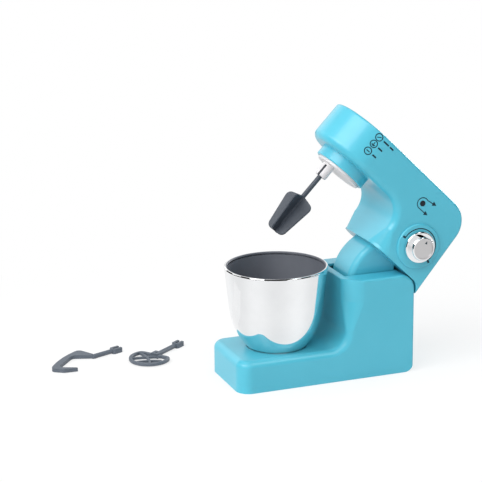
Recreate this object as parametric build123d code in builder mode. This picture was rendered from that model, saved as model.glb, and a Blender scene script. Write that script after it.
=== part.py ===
from build123d import *
import os
from math import acos, cos, radians, sin, sqrt, tan

# Toy stand mixer with a tilting head, in millimetres, +Z up
# The origin lies on the floor under the middle of the base. +X is the column end, -X the bowl end,
# and -Y the side with the speed knob. Pieces of the head are drawn with the head shut, and are then
# carried round the hinge to the open position.

os.makedirs("parts", exist_ok=True)

# Base and column
BASE_LENGTH = 190.0
BODY_WIDTH = 88.0
BASE_HEIGHT = 33.0
COLUMN_HEIGHT = 104.0
COLUMN_DEPTH = 74.0
FRONT_CORNER = 14.0
SOFT_EDGE = 7.5
FINE_EDGE = 2.5
FOOT_FILLET = 18.0
HEEL_ROUND = 10.0
CORNER_RADIUS = 20.0
CORNER_EASE = 0.1
COLUMN_FADE = 30.0
BODY_WALL = 2.4
HINGE_INSET = 15.0
SLOT_MARGIN = 5.0
SLOT_REAR_GAP = 1.0

# Head and neck
OPEN_ANGLE = 44.0
HEAD_GAP = 0.6
THROAT_RISE = 46.0
THROAT_REACH = 60.0
LEG_SETBACK = 3.0
LEG_FULL_CORNER = 3.0
BEAM_HEIGHT = 41.0
ARCH_RADIUS = 24.0
CROWN_RADIUS = 26.0
REAR_LEAN = 4.5
HOOK_GAP = 1.5
HOOK_ANGLE = 24.0
HOOK_LIP = 1.0
NECK_RADIUS = 50.0
NECK_WIDTH = 45.0
NECK_WALL = 3.0
NECK_EDGE = 6.0
NECK_LOW_ANGLE = -40.0
NECK_HIGH_ANGLE = 50.0

# Hinge
PIN_RADIUS = 3.0
PIN_FLANGE_RADIUS = 5.0
PIN_FLANGE = 1.5
PIN_INNER_STEP = 0.5
SLEEVE_BORE = 1.7
EAR_WALL = 4.0
EAR_REACH = 13.0
HINGE_BOSS_RADIUS = 9.0
WASHER_RADIUS = 8.0
WASHER_THICKNESS = 1.4

# Bowl
BOWL_HEIGHT = 87.0
BOWL_RIM_RADIUS = 52.5
BOWL_SHOULDER_RADIUS = 48.0
BOWL_SHOULDER_HEIGHT = 43.0
BOWL_FOOT_RADIUS = 31.0
BOWL_FOOT_HEIGHT = 3.5
BOWL_WALL = 1.2
RIM_BEAD = 1.5
LINER_DROP = 3.2
SEAT_DEPTH = 3.0
SEAT_GAP = 0.4

# Spindle, collar and planetary drive
COLLAR_RADIUS = 28.3
COLLAR_DROP = 10.5
COLLAR_FLANGE_RADIUS = 31.0
COLLAR_FLANGE = 2.0
DISC_RADIUS = 25.0
DISC_DROP = 2.5
DISC_THICKNESS = 3.8
DISC_EDGE = 0.8
HUB_OFFSET = 12.0
HUB_RADIUS = 6.5
HUB_LENGTH = 14.5
HUB_COLLAR_RADIUS = 7.0
HUB_COLLAR = 1.2
CARRIER_SHAFT_RADIUS = 4.8
CARRIER_SHOULDER_RADIUS = 8.0
CARRIER_SHOULDER = 3.5
DRIVE_RADIUS = 4.0
DRIVE_FLAT = 3.0
CLIP_RADIUS = 6.5
CLIP_THICKNESS = 0.8
CLIP_NECK = 3.4
CARRIER_TOP = 1.2

# Gears
MODULE = 1.0
PRESSURE_ANGLE = 25.0
ADDENDUM = 0.8
DEDENDUM = 1.1
TOOTH_SLACK = 0.12
RING_TEETH = 36
PLANET_TEETH = 12
CARRIER_TEETH = 40
COMPOUND_SMALL_TEETH = 12
COMPOUND_BIG_TEETH = 32
PINION_TEETH = 10
RING_WALL = 3.9
RING_WIDTH = 6.4
PLANET_WIDTH = 7.0
GEAR_WIDTH = 5.0
BIG_GEAR_WIDTH = 4.5
GEAR_STEP = 1.6
AXLE_RADIUS = 1.5

# Gear plate, motor and bracket
GEAR_PLATE = 2.5
GEAR_PLATE_RADIUS = 38.0
GEAR_PLATE_SCREW_CIRCLE = 34.5
GEAR_PLATE_SCREWS = 4
GEAR_PLATE_SCREW_TURN = 45.0
GEAR_PLATE_TAIL_WIDTH = 36.0
GEAR_PLATE_POST_RADIUS = 3.0
MOTOR_RADIUS = 12.2
MOTOR_HEIGHT = 12.3
MOTOR_SHAFT_RADIUS = 1.0
MOTOR_SHAFT_INSERT = 6.0
BRACKET_PLATE = 2.0
BRACKET_RADIUS = 19.3
BRACKET_CUP_WALL = 1.4
BRACKET_CUP_HEIGHT = 5.0
BRACKET_LEG_CIRCLE = 15.8
BRACKET_LEG_RADIUS = 3.2
BRACKET_LEG_ANGLE = 60.0
BRACKET_ARM_RADIUS = 4.0
PINION_SHAFT_OPENING = 3.2

# Knob, switch, board and lens
DIAL_FROM_HINGE_X = 18.0
DIAL_FROM_HINGE_Z = 44.0
DIAL_PAD_RADIUS = 23.5
DIAL_PAD_HEIGHT = 2.0
DIAL_PAD_ROUND = 1.6
KNOB_RADIUS = 16.3
KNOB_SKIRT = 4.0
KNOB_FACE_RADIUS = 12.2
KNOB_FACE_HEIGHT = 7.2
KNOB_FACE_ROUND = 1.5
KNOB_DISH_RADIUS = 9.8
KNOB_DISH_DEPTH = 0.8
KNOB_GAP = 0.5
KNOB_WALL = 1.6
KNOB_SOCKET_RADIUS = 4.5
SPINDLE_PIN_RADIUS = 2.5
SPINDLE_PIN_FLAT = 1.8
SPINDLE_OPENING = 3.2
SWITCH_SIDE = 14.0
SWITCH_DEPTH = 7.0
BOARD_LENGTH = 34.0
BOARD_HEIGHT = 30.0
BOARD_THICKNESS = 1.2
BOARD_STANDOFF = 10.4
BOARD_POST_RADIUS = 2.6
BOARD_POST_INSET = 3.2
LENS_RADIUS = 3.0
LENS_FROM_FRONT = 13.8
LENS_BELOW_TOP = 23.3
LENS_STANDOUT = 0.5
LED_RADIUS = 2.5
LED_LENGTH = 6.0
LED_BOSS_WALL = 1.4

# Screws
SCREW_RADIUS = 1.2
SCREW_HEAD_RADIUS = 2.5
SCREW_HEAD = 1.3
SCREW_SLOT = 0.7
SCREW_SLOT_DEPTH = 0.6
SCREW_POST_RADIUS = 4.2
NOSE_POST_INSET = 8.4
POST_BELOW_TOP = 12.6
ARCH_POST_INSET = 7.5
ARCH_POST_DROP = 16.8
HEAD_SCREW_LENGTH = 16.0
HEAD_SCREW_SEAT = 8.0
BASE_SCREW_LENGTH = 10.0
NECK_SCREW_LENGTH = 8.0
PLATE_SCREW_LENGTH = 4.5
BOARD_SCREW_LENGTH = 6.0
DOOR_SCREW_LENGTH = 7.0
BASE_POST_RADIUS = 5.6
BASE_POST_OVERLAP = 0.5
BASE_POST_INSET = 19.0
BASE_POST_REAR_INSET = 17.5
NECK_POST_RADIUS = 3.6
NECK_POSTS = ((40.0, 29.0), (30.0, 40.0))

# Batteries and tray
CELL_RADIUS = 7.25
CELL_LENGTH = 50.5
CELL_NIB_RADIUS = 2.6
CELL_NIB = 1.2
CELL_PITCH = 15.2
TRAY_WALL = 1.5
TRAY_SLACK = 0.6
TRAY_FROM_COLUMN = 4.0
CONTACT_THICKNESS = 0.5
CONTACT_ROOM = 1.8
CONTACT_HEIGHT = 10.0
CONTACT_BUMP_RADIUS = 2.6
DOOR_TONGUE = 9.0
LUG_HEIGHT = 9.0
LUG_WIDTH = 10.0

# Leads
LEAD_RADIUS = 1.2
LEAD_BEND = 4.0
LEAD_SIDE = 34.0
LEAD_LOW = 11.0
LEAD_INSIDE = 13.0
LEAD_RAY = 36.0
LEAD_RAY_ANGLE = 45.0

# Tools
STEM_DIAMETER = 5.0
FORK_WIDTH = 8.6
FORK_THICKNESS = 5.4
FORK_GAP = 2.6
FORK_LENGTH = 11.5
FORK_BRIDGE = 2.4
SOCKET_DEPTH = 12.5
SOCKET_WEB = 2.0
HUB_SLOT = 2.6
PADDLE_STEM = 26.5
PADDLE_HEIGHT = 45.0
PADDLE_TOP_RADIUS = 17.2
PADDLE_LOW_RADIUS = 10.5
PADDLE_CORNER = 6.0
PADDLE_SHOULDER = 4.0
FIN_THICKNESS = 2.2
FIN_EDGE = 0.8
PADDLE_TURN = 38.0
HOOK_STEM = 22.5
HOOK_APEX = (-3.0, 24.0)
HOOK_BACK = (-31.0, 15.0)
HOOK_HEEL = (-59.0, -3.0)
HOOK_SOLE = (-51.0, -15.0)
HOOK_TIP = (-38.0, -21.0)
HOOK_TIP_WIDTH = 2.2
HOOK_INNER_HEEL = (-52.0, -5.0)
HOOK_NOTCH = (-19.0, 14.0)
HOOK_ROUND = 5.0
HOOK_THICKNESS = 4.0
HOOK_PLACE = (-199.0, 118.0)
HOOK_YAW = 22.0
BEATER_STEM = 36.0
BEATER_RADIUS = 20.0
BEATER_CHORD = 10.0
BEATER_WIRE = 3.6
BEATER_BAR = 2.4
BEATER_CORNER = 5.0
BEATER_EDGE = 1.0
BEATER_BLOCK = 9.0
BEATER_BLOCK_HOLE = 1.2
BEATER_BARS = (
    ((-2.4, 19.8), (-12.0, 0.8), (-25.5, -11.1)),
    ((-20.8, 14.7), (-10.0, 3.6), (-1.2, -8.2)),
    ((-27.5, 3.6), (-18.4, -5.1), (-12.0, -16.7)),
)
BEATER_PLACE = (-139.0, 96.0)
BEATER_YAW = 37.0

# Fits
RUNNING_FIT = 0.05
SLIP_FIT = 0.1
FREE_GAP = 0.3

# Places that follow from the sizes above
FRONT_X = -BASE_LENGTH / 2
REAR_X = BASE_LENGTH / 2
HALF_WIDTH = BODY_WIDTH / 2
COLUMN_X = REAR_X - COLUMN_DEPTH
LEG_X = COLUMN_X + LEG_SETBACK
HINGE_X = REAR_X - HINGE_INSET
HINGE_Z = COLUMN_HEIGHT - HINGE_INSET
HINGE_AXIS = Axis((HINGE_X, 0, HINGE_Z), (0, 1, 0))
SPINDLE_X = COLUMN_X - THROAT_REACH
HEAD_BOTTOM_Z = COLUMN_HEIGHT + HEAD_GAP
UNDERSIDE_Z = COLUMN_HEIGHT + THROAT_RISE
HEAD_TOP_Z = UNDERSIDE_Z + BEAM_HEIGHT
FLOOR_Z = UNDERSIDE_Z + BODY_WALL
COLUMN_FADE_Z = BASE_HEIGHT + FOOT_FILLET
COLUMN_FULL_Z = COLUMN_FADE_Z + COLUMN_FADE
LEG_FADE_Z = UNDERSIDE_Z - ARCH_RADIUS
LEG_FULL_Z = HEAD_BOTTOM_Z + LEG_FULL_CORNER
HOOK_ARC = HINGE_INSET + HOOK_GAP
HOOK_TIP_Z = HINGE_Z + HOOK_ARC * sin(radians(HOOK_ANGLE))
HOOK_TIP_X = REAR_X + HOOK_LIP
INNER_HALF = HALF_WIDTH - BODY_WALL
NECK_HALF = NECK_WIDTH / 2
EAR_Y = NECK_HALF + WASHER_THICKNESS + SLIP_FIT
SEAT_Z = BASE_HEIGHT - SEAT_DEPTH
SEAT_RADIUS = BOWL_FOOT_RADIUS + SEAT_GAP
BOWL_RIM_Z = SEAT_Z + BOWL_HEIGHT

COLLAR_Z = UNDERSIDE_Z - COLLAR_DROP
DISC_Z = COLLAR_Z - DISC_DROP
DISC_TOP_Z = DISC_Z + DISC_THICKNESS
HUB_LOW_Z = DISC_Z - HUB_LENGTH
HUB_X = SPINDLE_X - HUB_OFFSET
PLANET_Z = DISC_TOP_Z + SLIP_FIT + HUB_COLLAR
GEAR_PLATE_Z = FLOOR_Z + COLLAR_FLANGE
GEAR_PLATE_TOP_Z = GEAR_PLATE_Z + GEAR_PLATE
CARRIER_GEAR_Z = GEAR_PLATE_TOP_Z + GEAR_STEP
CARRIER_GEAR_TOP_Z = CARRIER_GEAR_Z + GEAR_WIDTH
BIG_GEAR_Z = CARRIER_GEAR_TOP_Z + GEAR_STEP
BIG_GEAR_TOP_Z = BIG_GEAR_Z + BIG_GEAR_WIDTH
BRACKET_Z = BIG_GEAR_TOP_Z + GEAR_STEP
MOTOR_Z = BRACKET_Z + BRACKET_PLATE
COMPOUND_X = SPINDLE_X + MODULE * (CARRIER_TEETH + COMPOUND_SMALL_TEETH) / 2
MOTOR_X = COMPOUND_X + MODULE * (COMPOUND_BIG_TEETH + PINION_TEETH) / 2
RING_RADIUS = MODULE * RING_TEETH / 2 + DEDENDUM + RING_WALL
RING_Z = PLANET_Z + FREE_GAP

DIAL_X = HINGE_X - DIAL_FROM_HINGE_X
DIAL_Z = HINGE_Z + DIAL_FROM_HINGE_Z
LENS_X = COLUMN_X + LENS_FROM_FRONT
LENS_Z = HEAD_TOP_Z - LENS_BELOW_TOP
BOARD_Y = -INNER_HALF + BOARD_STANDOFF
KNOB_BACK_Y = -HALF_WIDTH - DIAL_PAD_HEIGHT - KNOB_GAP
KNOB_FRONT_Y = KNOB_BACK_Y - KNOB_SKIRT - KNOB_FACE_HEIGHT

FLOOR_OPENING_FRONT = FRONT_X + BODY_WALL
FLOOR_OPENING_REAR = REAR_X - HEEL_ROUND - BODY_WALL
SLOT_REAR_X = HINGE_X - HINGE_INSET * cos(radians(NECK_HIGH_ANGLE + OPEN_ANGLE)) + SLOT_REAR_GAP
BASE_POST_Y = INNER_HALF - BASE_POST_RADIUS + BASE_POST_OVERLAP
BASE_POST_X = (FRONT_X + BASE_POST_INSET, REAR_X - BASE_POST_REAR_INSET)
TRAY_INNER_LENGTH = CELL_LENGTH + 2 * (CONTACT_ROOM + CONTACT_THICKNESS)
TRAY_INNER_WIDTH = CELL_PITCH + 2 * (CELL_RADIUS + TRAY_SLACK)
TRAY_FRONT = COLUMN_X + TRAY_FROM_COLUMN
TRAY_MIDDLE = TRAY_FRONT + TRAY_WALL + TRAY_INNER_LENGTH / 2
CELL_Z = BODY_WALL + FREE_GAP + CELL_RADIUS
TRAY_TOP_Z = CELL_Z + CELL_RADIUS + TRAY_SLACK + TRAY_WALL
DOOR_FRONT = TRAY_FRONT - DOOR_TONGUE
DOOR_REAR = TRAY_MIDDLE + TRAY_INNER_LENGTH / 2
DOOR_MIDDLE = (DOOR_FRONT + DOOR_REAR) / 2

# Posts that join the two halves of the head, seen from the side, all clear of the drive
HEAD_POSTS = (
    (SPINDLE_X - HALF_WIDTH + NOSE_POST_INSET, HEAD_TOP_Z - POST_BELOW_TOP),
    (SPINDLE_X + NOSE_POST_INSET, HEAD_TOP_Z - NOSE_POST_INSET),
    (MOTOR_X + BRACKET_RADIUS + POST_BELOW_TOP, HEAD_TOP_Z - POST_BELOW_TOP),
    (HINGE_X, HEAD_TOP_Z - CROWN_RADIUS),
    (LEG_X + ARCH_POST_INSET, UNDERSIDE_Z - ARCH_POST_DROP),
)


def on_hinge_circle(radius, angle):
    """Point beside the hinge at a radius, by its angle above the line that runs forward from it."""
    return (HINGE_X - radius * cos(radians(angle)), HINGE_Z + radius * sin(radians(angle)))


def swing_open(piece):
    """A head piece, carried from the shut to the open position."""
    return piece.rotate(HINGE_AXIS, OPEN_ANGLE)


def screw(length):
    """Slotted pan-head screw. Its seat is at the origin, its head on +Z and its shank on -Z."""
    with BuildPart() as body:
        Cylinder(SCREW_HEAD_RADIUS, SCREW_HEAD, align=(Align.CENTER, Align.CENTER, Align.MIN))
        fillet(body.edges().group_by(Axis.Z)[-1], SCREW_HEAD / 3)
        with BuildSketch(Plane.XY.offset(SCREW_HEAD)):
            Rectangle(2 * SCREW_HEAD_RADIUS, SCREW_SLOT)
            Rectangle(SCREW_SLOT, 2 * SCREW_HEAD_RADIUS)
        extrude(amount=-SCREW_SLOT_DEPTH, mode=Mode.SUBTRACT)
        Cylinder(SCREW_RADIUS, length, align=(Align.CENTER, Align.CENTER, Align.MAX))
    return body.part


def screw_at(length, place, way):
    """A screw with its seat at a place and its head turned a given way."""
    return screw(length).moved(Plane(origin=place, z_dir=way).location)


def rod(radius, start, end):
    """Round rod between two points."""
    way = Vector(*end) - Vector(*start)
    with BuildPart() as body:
        with BuildSketch(Plane(origin=start, z_dir=way)):
            Circle(radius)
        extrude(amount=way.length)
    return body.part


def lead(points):
    """Round lead along straight runs with even bends."""
    with BuildPart() as body:
        with BuildLine() as route:
            FilletPolyline(*points, radius=LEAD_BEND)
        with BuildSketch(Plane(origin=points[0], z_dir=Vector(*points[1]) - Vector(*points[0]))):
            Circle(LEAD_RADIUS)
        sweep(path=route.wires()[0])
    return body.part


def drive_section(gap):
    """Round drive end with one flat, larger by a gap all round."""
    with BuildSketch() as section:
        Circle(DRIVE_RADIUS + gap)
        with Locations((0, DRIVE_FLAT + gap)):
            Rectangle(3 * DRIVE_RADIUS, DRIVE_RADIUS, align=(Align.CENTER, Align.MIN), mode=Mode.SUBTRACT)
    return section.sketch


def involute_roll(base_radius, radius):
    """Angle that the involute of a base circle has rolled through when it reaches a radius."""
    slope = acos(min(1.0, base_radius / radius))
    return tan(slope) - slope


def gear_outline(teeth, addendum, dedendum, slack, turn):
    """Involute gear, the first tooth turned from +X, each flank an arc through three involute points."""
    pitch = MODULE * teeth / 2
    base = pitch * cos(radians(PRESSURE_ANGLE))
    tip = pitch + addendum
    root = pitch - dedendum
    start = max(root, base)
    half_way = (start + tip) / 2
    step = radians(360 / teeth)
    half = step / 4 - slack / pitch + involute_roll(base, pitch)
    low = half - involute_roll(base, start)
    middle = half - involute_roll(base, half_way)
    top = half - involute_roll(base, tip)

    def spot(radius, angle):
        return (radius * cos(angle), radius * sin(angle))

    with BuildSketch() as outline:
        with BuildLine():
            for tooth in range(teeth):
                at = radians(turn) + tooth * step
                if start > root:
                    Line(spot(root, at - low), spot(start, at - low))
                    Line(spot(start, at + low), spot(root, at + low))
                ThreePointArc(spot(start, at - low), spot(half_way, at - middle), spot(tip, at - top))
                ThreePointArc(spot(tip, at - top), spot(tip, at), spot(tip, at + top))
                ThreePointArc(spot(tip, at + top), spot(half_way, at + middle), spot(start, at + low))
                ThreePointArc(spot(root, at + low), spot(root, at + step / 2), spot(root, at + step - low))
        make_face()
    return outline.sketch


def outer_gear(teeth, turn):
    """Outline of a gear with teeth on its outside."""
    return gear_outline(teeth, ADDENDUM, DEDENDUM, TOOTH_SLACK, turn)


def corner_profile(corner, side, width, radius, height):
    """Square that reaches inward from a front corner, rounded at that corner, lying at a height."""
    inward = Align.MAX if side > 0 else Align.MIN
    with BuildSketch(Plane.XY.offset(height)) as profile:
        with Locations(corner):
            Rectangle(width, width, align=(Align.MIN, inward))
        fillet(profile.vertices().sort_by_distance((*corner, 0))[0], radius)
    return profile.sketch.face()


def front_corners(front_x, inset, small_z, full_z, end_z):
    """What the front corners of the column or leg take off, growing from the soft edge to a broad round."""
    full = CORNER_RADIUS - inset + CORNER_EASE
    small = SOFT_EDGE - inset + CORNER_EASE
    x = front_x + inset - CORNER_EASE
    half = HALF_WIDTH - inset + CORNER_EASE
    low, high = sorted((small_z, end_z))
    with BuildPart() as corners:
        for side in (-1, 1):
            outward = Align.MIN if side > 0 else Align.MAX
            with Locations((x + full, side * (half - full), low)):
                Box(full + BODY_WALL, full + BODY_WALL, high - low, align=(Align.MAX, outward, Align.MIN))
        for side in (-1, 1):
            corner = (x, side * half)
            width = full + BODY_WALL
            start = corner_profile(corner, side, width, small, small_z)
            broad = corner_profile(corner, side, width, full, full_z)
            loft([start, broad], ruled=True, mode=Mode.SUBTRACT)
            extrude(broad, amount=end_z - full_z, dir=(0, 0, 1), mode=Mode.SUBTRACT)
    return corners.part


def column_corners(inset):
    """Front corners of the column, from just above its foot to past its top."""
    return front_corners(COLUMN_X, inset, COLUMN_FADE_Z, COLUMN_FULL_Z, COLUMN_HEIGHT + BODY_WALL)


def leg_corners(inset):
    """Front corners of the head's leg, from the arch to past its lower end."""
    return front_corners(LEG_X, inset, LEG_FADE_Z, LEG_FULL_Z, HEAD_BOTTOM_Z - BODY_WALL)


def base_form(inset):
    """Base and column in one form, its side outline moved inward by an inset and pulled across."""
    with BuildPart() as form:
        with BuildSketch(Plane.XZ) as side:
            with BuildLine():
                Polyline(
                    (FRONT_X + inset, inset),
                    (FRONT_X + inset, BASE_HEIGHT - inset),
                    (COLUMN_X + inset, BASE_HEIGHT - inset),
                    (COLUMN_X + inset, COLUMN_HEIGHT - inset),
                    (REAR_X - inset, COLUMN_HEIGHT - inset),
                    (REAR_X - inset, inset),
                    close=True,
                )
            make_face()
            foot = side.vertices().sort_by_distance((COLUMN_X, BASE_HEIGHT, 0))[0]
            fillet(foot, FOOT_FILLET + inset)
            shoulder = side.vertices().sort_by_distance((REAR_X, COLUMN_HEIGHT, 0))[0]
            fillet(shoulder, HINGE_INSET - inset)
        extrude(amount=HALF_WIDTH - inset, both=True)
        fillet(form.edges().filter_by(Axis.Z).group_by(Axis.X)[0], FRONT_CORNER - inset)
        front_edges = form.edges().filter_by(Axis.Y).group_by(Axis.X)[0]
        fillet(front_edges.sort_by(Axis.Z)[-1], SOFT_EDGE - inset)
    return form.part


def heel_corner(inset):
    """What the round heel at the lower rear takes off the base."""
    with BuildPart() as corner:
        with BuildSketch(Plane.XZ):
            with Locations((REAR_X - inset, inset)):
                Rectangle(HEEL_ROUND - inset, HEEL_ROUND - inset, align=(Align.MAX, Align.MIN))
            with Locations((REAR_X - HEEL_ROUND, HEEL_ROUND)):
                Circle(HEEL_ROUND - inset, mode=Mode.SUBTRACT)
        extrude(amount=HALF_WIDTH, both=True)
    return corner.part


def floor_outline(inset):
    """Outline of the opening under the base, and with an inset that of the plate in it."""
    length = FLOOR_OPENING_REAR - FLOOR_OPENING_FRONT
    with BuildSketch() as outline:
        with Locations((FLOOR_OPENING_FRONT + length / 2, 0)):
            Rectangle(length - 2 * inset, 2 * (INNER_HALF - inset))
        fillet(outline.vertices().group_by(Axis.X)[0], FRONT_CORNER - BODY_WALL - inset)
        fillet(outline.vertices().group_by(Axis.X)[-1], HEEL_ROUND - BODY_WALL - inset)
    return outline.sketch


def base_posts():
    """Places of the four posts in the base that take the screws of the base plate."""
    return [(x, side * BASE_POST_Y) for x in BASE_POST_X for side in (-1, 1)]


def rear_face_x(z):
    """Where the leaning rear face of the head is at a height."""
    return HOOK_TIP_X - (z - HOOK_TIP_Z) * tan(radians(REAR_LEAN))


def head_form(inset, hooked):
    """Head with its round nose, arch and leaning rear, hooked over the column or plain for the hollow."""
    nose_x = SPINDLE_X - HALF_WIDTH
    low = HEAD_BOTTOM_Z + inset
    high = HEAD_TOP_Z - inset
    lean = inset / cos(radians(REAR_LEAN))
    hook_start = (HINGE_X + sqrt(HOOK_ARC**2 - (HEAD_BOTTOM_Z - HINGE_Z) ** 2), HEAD_BOTTOM_Z)
    hook_tip = (HINGE_X + HOOK_ARC * cos(radians(HOOK_ANGLE)), HOOK_TIP_Z)
    with BuildPart() as form:
        with BuildSketch(Plane.XZ) as side:
            with BuildLine():
                Line((nose_x, UNDERSIDE_Z + inset), (LEG_X + inset, UNDERSIDE_Z + inset))
                Line((LEG_X + inset, UNDERSIDE_Z + inset), (LEG_X + inset, low))
                if hooked:
                    Line((LEG_X, low), hook_start)
                    RadiusArc(hook_start, hook_tip, HOOK_ARC)
                    Line(hook_tip, (HOOK_TIP_X, HOOK_TIP_Z))
                    Line((HOOK_TIP_X, HOOK_TIP_Z), (rear_face_x(high), high))
                else:
                    Line((LEG_X + inset, low), (rear_face_x(low) - lean, low))
                    Line((rear_face_x(low) - lean, low), (rear_face_x(high) - lean, high))
                Line((rear_face_x(high) - lean, high), (nose_x, high))
                Line((nose_x, high), (nose_x, UNDERSIDE_Z + inset))
            make_face()
            arch = side.vertices().sort_by_distance((LEG_X, UNDERSIDE_Z, 0))[0]
            fillet(arch, ARCH_RADIUS + inset)
            crown = side.vertices().sort_by_distance((REAR_X, HEAD_TOP_Z, 0))[0]
            fillet(crown, CROWN_RADIUS - inset)
        extrude(amount=HALF_WIDTH, both=True)
        with BuildSketch():
            with Locations((SPINDLE_X, 0)):
                Circle(HALF_WIDTH - inset)
                Rectangle(
                    HOOK_TIP_X - SPINDLE_X, 2 * (HALF_WIDTH - inset), align=(Align.MIN, Align.CENTER)
                )
        extrude(amount=HEAD_TOP_Z, mode=Mode.INTERSECT)
        nose_edges = form.edges().filter_by(GeomType.CIRCLE).group_by(Axis.X)[0]
        fillet(nose_edges.sort_by(Axis.Z)[0], SOFT_EDGE - inset)
        add(leg_corners(inset), mode=Mode.SUBTRACT)
    return form.part


def neck_sector(radius, low_angle, high_angle):
    """Side outline of the neck arm: a sector about the hinge, joined to a round boss at the hinge."""
    corner = radius / cos(radians((high_angle - low_angle) / 2))
    with BuildSketch(Plane.XZ) as sector:
        with Locations((HINGE_X, HINGE_Z)):
            Circle(radius)
        with BuildLine():
            Polyline(
                (HINGE_X, HINGE_Z),
                on_hinge_circle(corner, low_angle),
                on_hinge_circle(corner, (low_angle + high_angle) / 2),
                on_hinge_circle(corner, high_angle),
                close=True,
            )
        make_face(mode=Mode.INTERSECT)
    return sector.sketch


def bowl_form(inset, top):
    """Solid of revolution of the bowl, moved inward by an inset and cut off at a height."""
    slope = (BOWL_RIM_RADIUS - BOWL_SHOULDER_RADIUS) / (BOWL_HEIGHT - BOWL_SHOULDER_HEIGHT)
    shoulder = (BOWL_SHOULDER_RADIUS - inset, SEAT_Z + BOWL_SHOULDER_HEIGHT)
    rim = (shoulder[0] + slope * (top - shoulder[1]), top)
    foot_radius = BOWL_FOOT_RADIUS - inset
    foot = (foot_radius, SEAT_Z + BOWL_FOOT_HEIGHT + inset)
    with BuildPart() as form:
        with BuildSketch(Plane.XZ):
            with BuildLine():
                Polyline((0, top), (0, SEAT_Z + inset), (foot_radius, SEAT_Z + inset), foot)
                TangentArc(shoulder, foot, tangent=(-slope, -1))
                Polyline(shoulder, rim, (0, top))
            make_face()
        revolve(axis=Axis.Z)
    return form.part.moved(Location((SPINDLE_X, 0, 0)))


def tool_fork():
    """Two-pronged end and stem seat of a tool, drawn upward from the lower end of the fork."""
    with BuildPart() as fork:
        with BuildSketch(Plane.XZ) as prongs:
            with Locations((0, FORK_LENGTH / 2)):
                Rectangle(FORK_WIDTH, FORK_LENGTH)
            with Locations((0, FORK_BRIDGE)):
                Rectangle(
                    FORK_GAP, FORK_LENGTH, align=(Align.CENTER, Align.MIN), mode=Mode.SUBTRACT
                )
            chamfer(prongs.vertices().group_by(Axis.Y)[0], (FORK_WIDTH - FORK_THICKNESS) / 2)
        extrude(amount=FORK_THICKNESS / 2, both=True)
    return fork.part


# Base housing: base and column in one moulding, open below
with BuildPart() as base_hollow:
    add(base_form(BODY_WALL))
    add(column_corners(BODY_WALL), mode=Mode.SUBTRACT)
    add(heel_corner(BODY_WALL), mode=Mode.SUBTRACT)
    with Locations((SPINDLE_X, 0, SEAT_Z - BODY_WALL)):
        Cylinder(
            SEAT_RADIUS + BODY_WALL,
            BASE_HEIGHT,
            align=(Align.CENTER, Align.CENTER, Align.MIN),
            mode=Mode.SUBTRACT,
        )
    with Locations([(x, y, 0) for x, y in base_posts()]):
        Cylinder(
            BASE_POST_RADIUS,
            BASE_HEIGHT,
            align=(Align.CENTER, Align.CENTER, Align.MIN),
            mode=Mode.SUBTRACT,
        )
    with Locations([(HINGE_X - EAR_REACH, y, HINGE_Z - EAR_REACH) for y in (-EAR_Y - EAR_WALL, EAR_Y)]):
        Box(COLUMN_DEPTH, EAR_WALL, COLUMN_HEIGHT, align=Align.MIN, mode=Mode.SUBTRACT)

with BuildPart() as base_housing:
    add(base_form(0))
    column_top = base_housing.faces().sort_by(Axis.Z)[-1]
    fillet(column_top.edges().filter_by(Axis.Y).sort_by(Axis.X)[0], FINE_EDGE)
    add(column_corners(0), mode=Mode.SUBTRACT)
    add(heel_corner(0), mode=Mode.SUBTRACT)
    add(base_hollow.part, mode=Mode.SUBTRACT)
    extrude(floor_outline(0), amount=BODY_WALL, mode=Mode.SUBTRACT)
    with Locations((SPINDLE_X, 0, SEAT_Z)):
        Cylinder(
            SEAT_RADIUS,
            BASE_HEIGHT,
            align=(Align.CENTER, Align.CENTER, Align.MIN),
            mode=Mode.SUBTRACT,
        )
    with Locations((COLUMN_X + SLOT_MARGIN, 0, HINGE_Z)):
        Box(
            SLOT_REAR_X - COLUMN_X - SLOT_MARGIN,
            2 * EAR_Y,
            COLUMN_HEIGHT,
            align=(Align.MIN, Align.CENTER, Align.MIN),
            mode=Mode.SUBTRACT,
        )
    with BuildSketch(Plane.XZ):
        with Locations((HINGE_X, HINGE_Z)):
            Circle(PIN_RADIUS + RUNNING_FIT)
    extrude(amount=EAR_Y + EAR_WALL, both=True, mode=Mode.SUBTRACT)
    with BuildSketch(Plane.XY.offset(BODY_WALL)):
        with Locations(base_posts()):
            Circle(SCREW_RADIUS + RUNNING_FIT)
    extrude(amount=BASE_SCREW_LENGTH, mode=Mode.SUBTRACT)
base_housing.part.label = "base_housing"
export_step(base_housing.part, "parts/base_housing.step")

# Base plate: closes the base from below, with the battery opening and screw recesses
with BuildPart() as base_plate:
    extrude(floor_outline(SLIP_FIT), amount=BODY_WALL)
    with BuildSketch():
        with Locations((DOOR_MIDDLE, 0)):
            Rectangle(DOOR_REAR - DOOR_FRONT + 2 * SLIP_FIT, TRAY_INNER_WIDTH + 2 * SLIP_FIT)
    extrude(amount=BODY_WALL, mode=Mode.SUBTRACT)
    with BuildSketch():
        with Locations(base_posts()):
            Circle(SCREW_RADIUS + RUNNING_FIT)
    extrude(amount=BODY_WALL, mode=Mode.SUBTRACT)
    with BuildSketch():
        with Locations(base_posts()):
            Circle(SCREW_HEAD_RADIUS + SLIP_FIT)
    extrude(amount=SCREW_HEAD + SLIP_FIT, mode=Mode.SUBTRACT)
base_plate.part.label = "base_plate"
export_step(base_plate.part, "parts/base_plate.step")

with BuildPart() as base_screws:
    for x, y in base_posts():
        add(screw_at(BASE_SCREW_LENGTH, (x, y, SCREW_HEAD + SLIP_FIT), (0, 0, -1)))
base_screws.part.label = "base_screws"
export_step(base_screws.part, "parts/base_screws.step")

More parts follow.
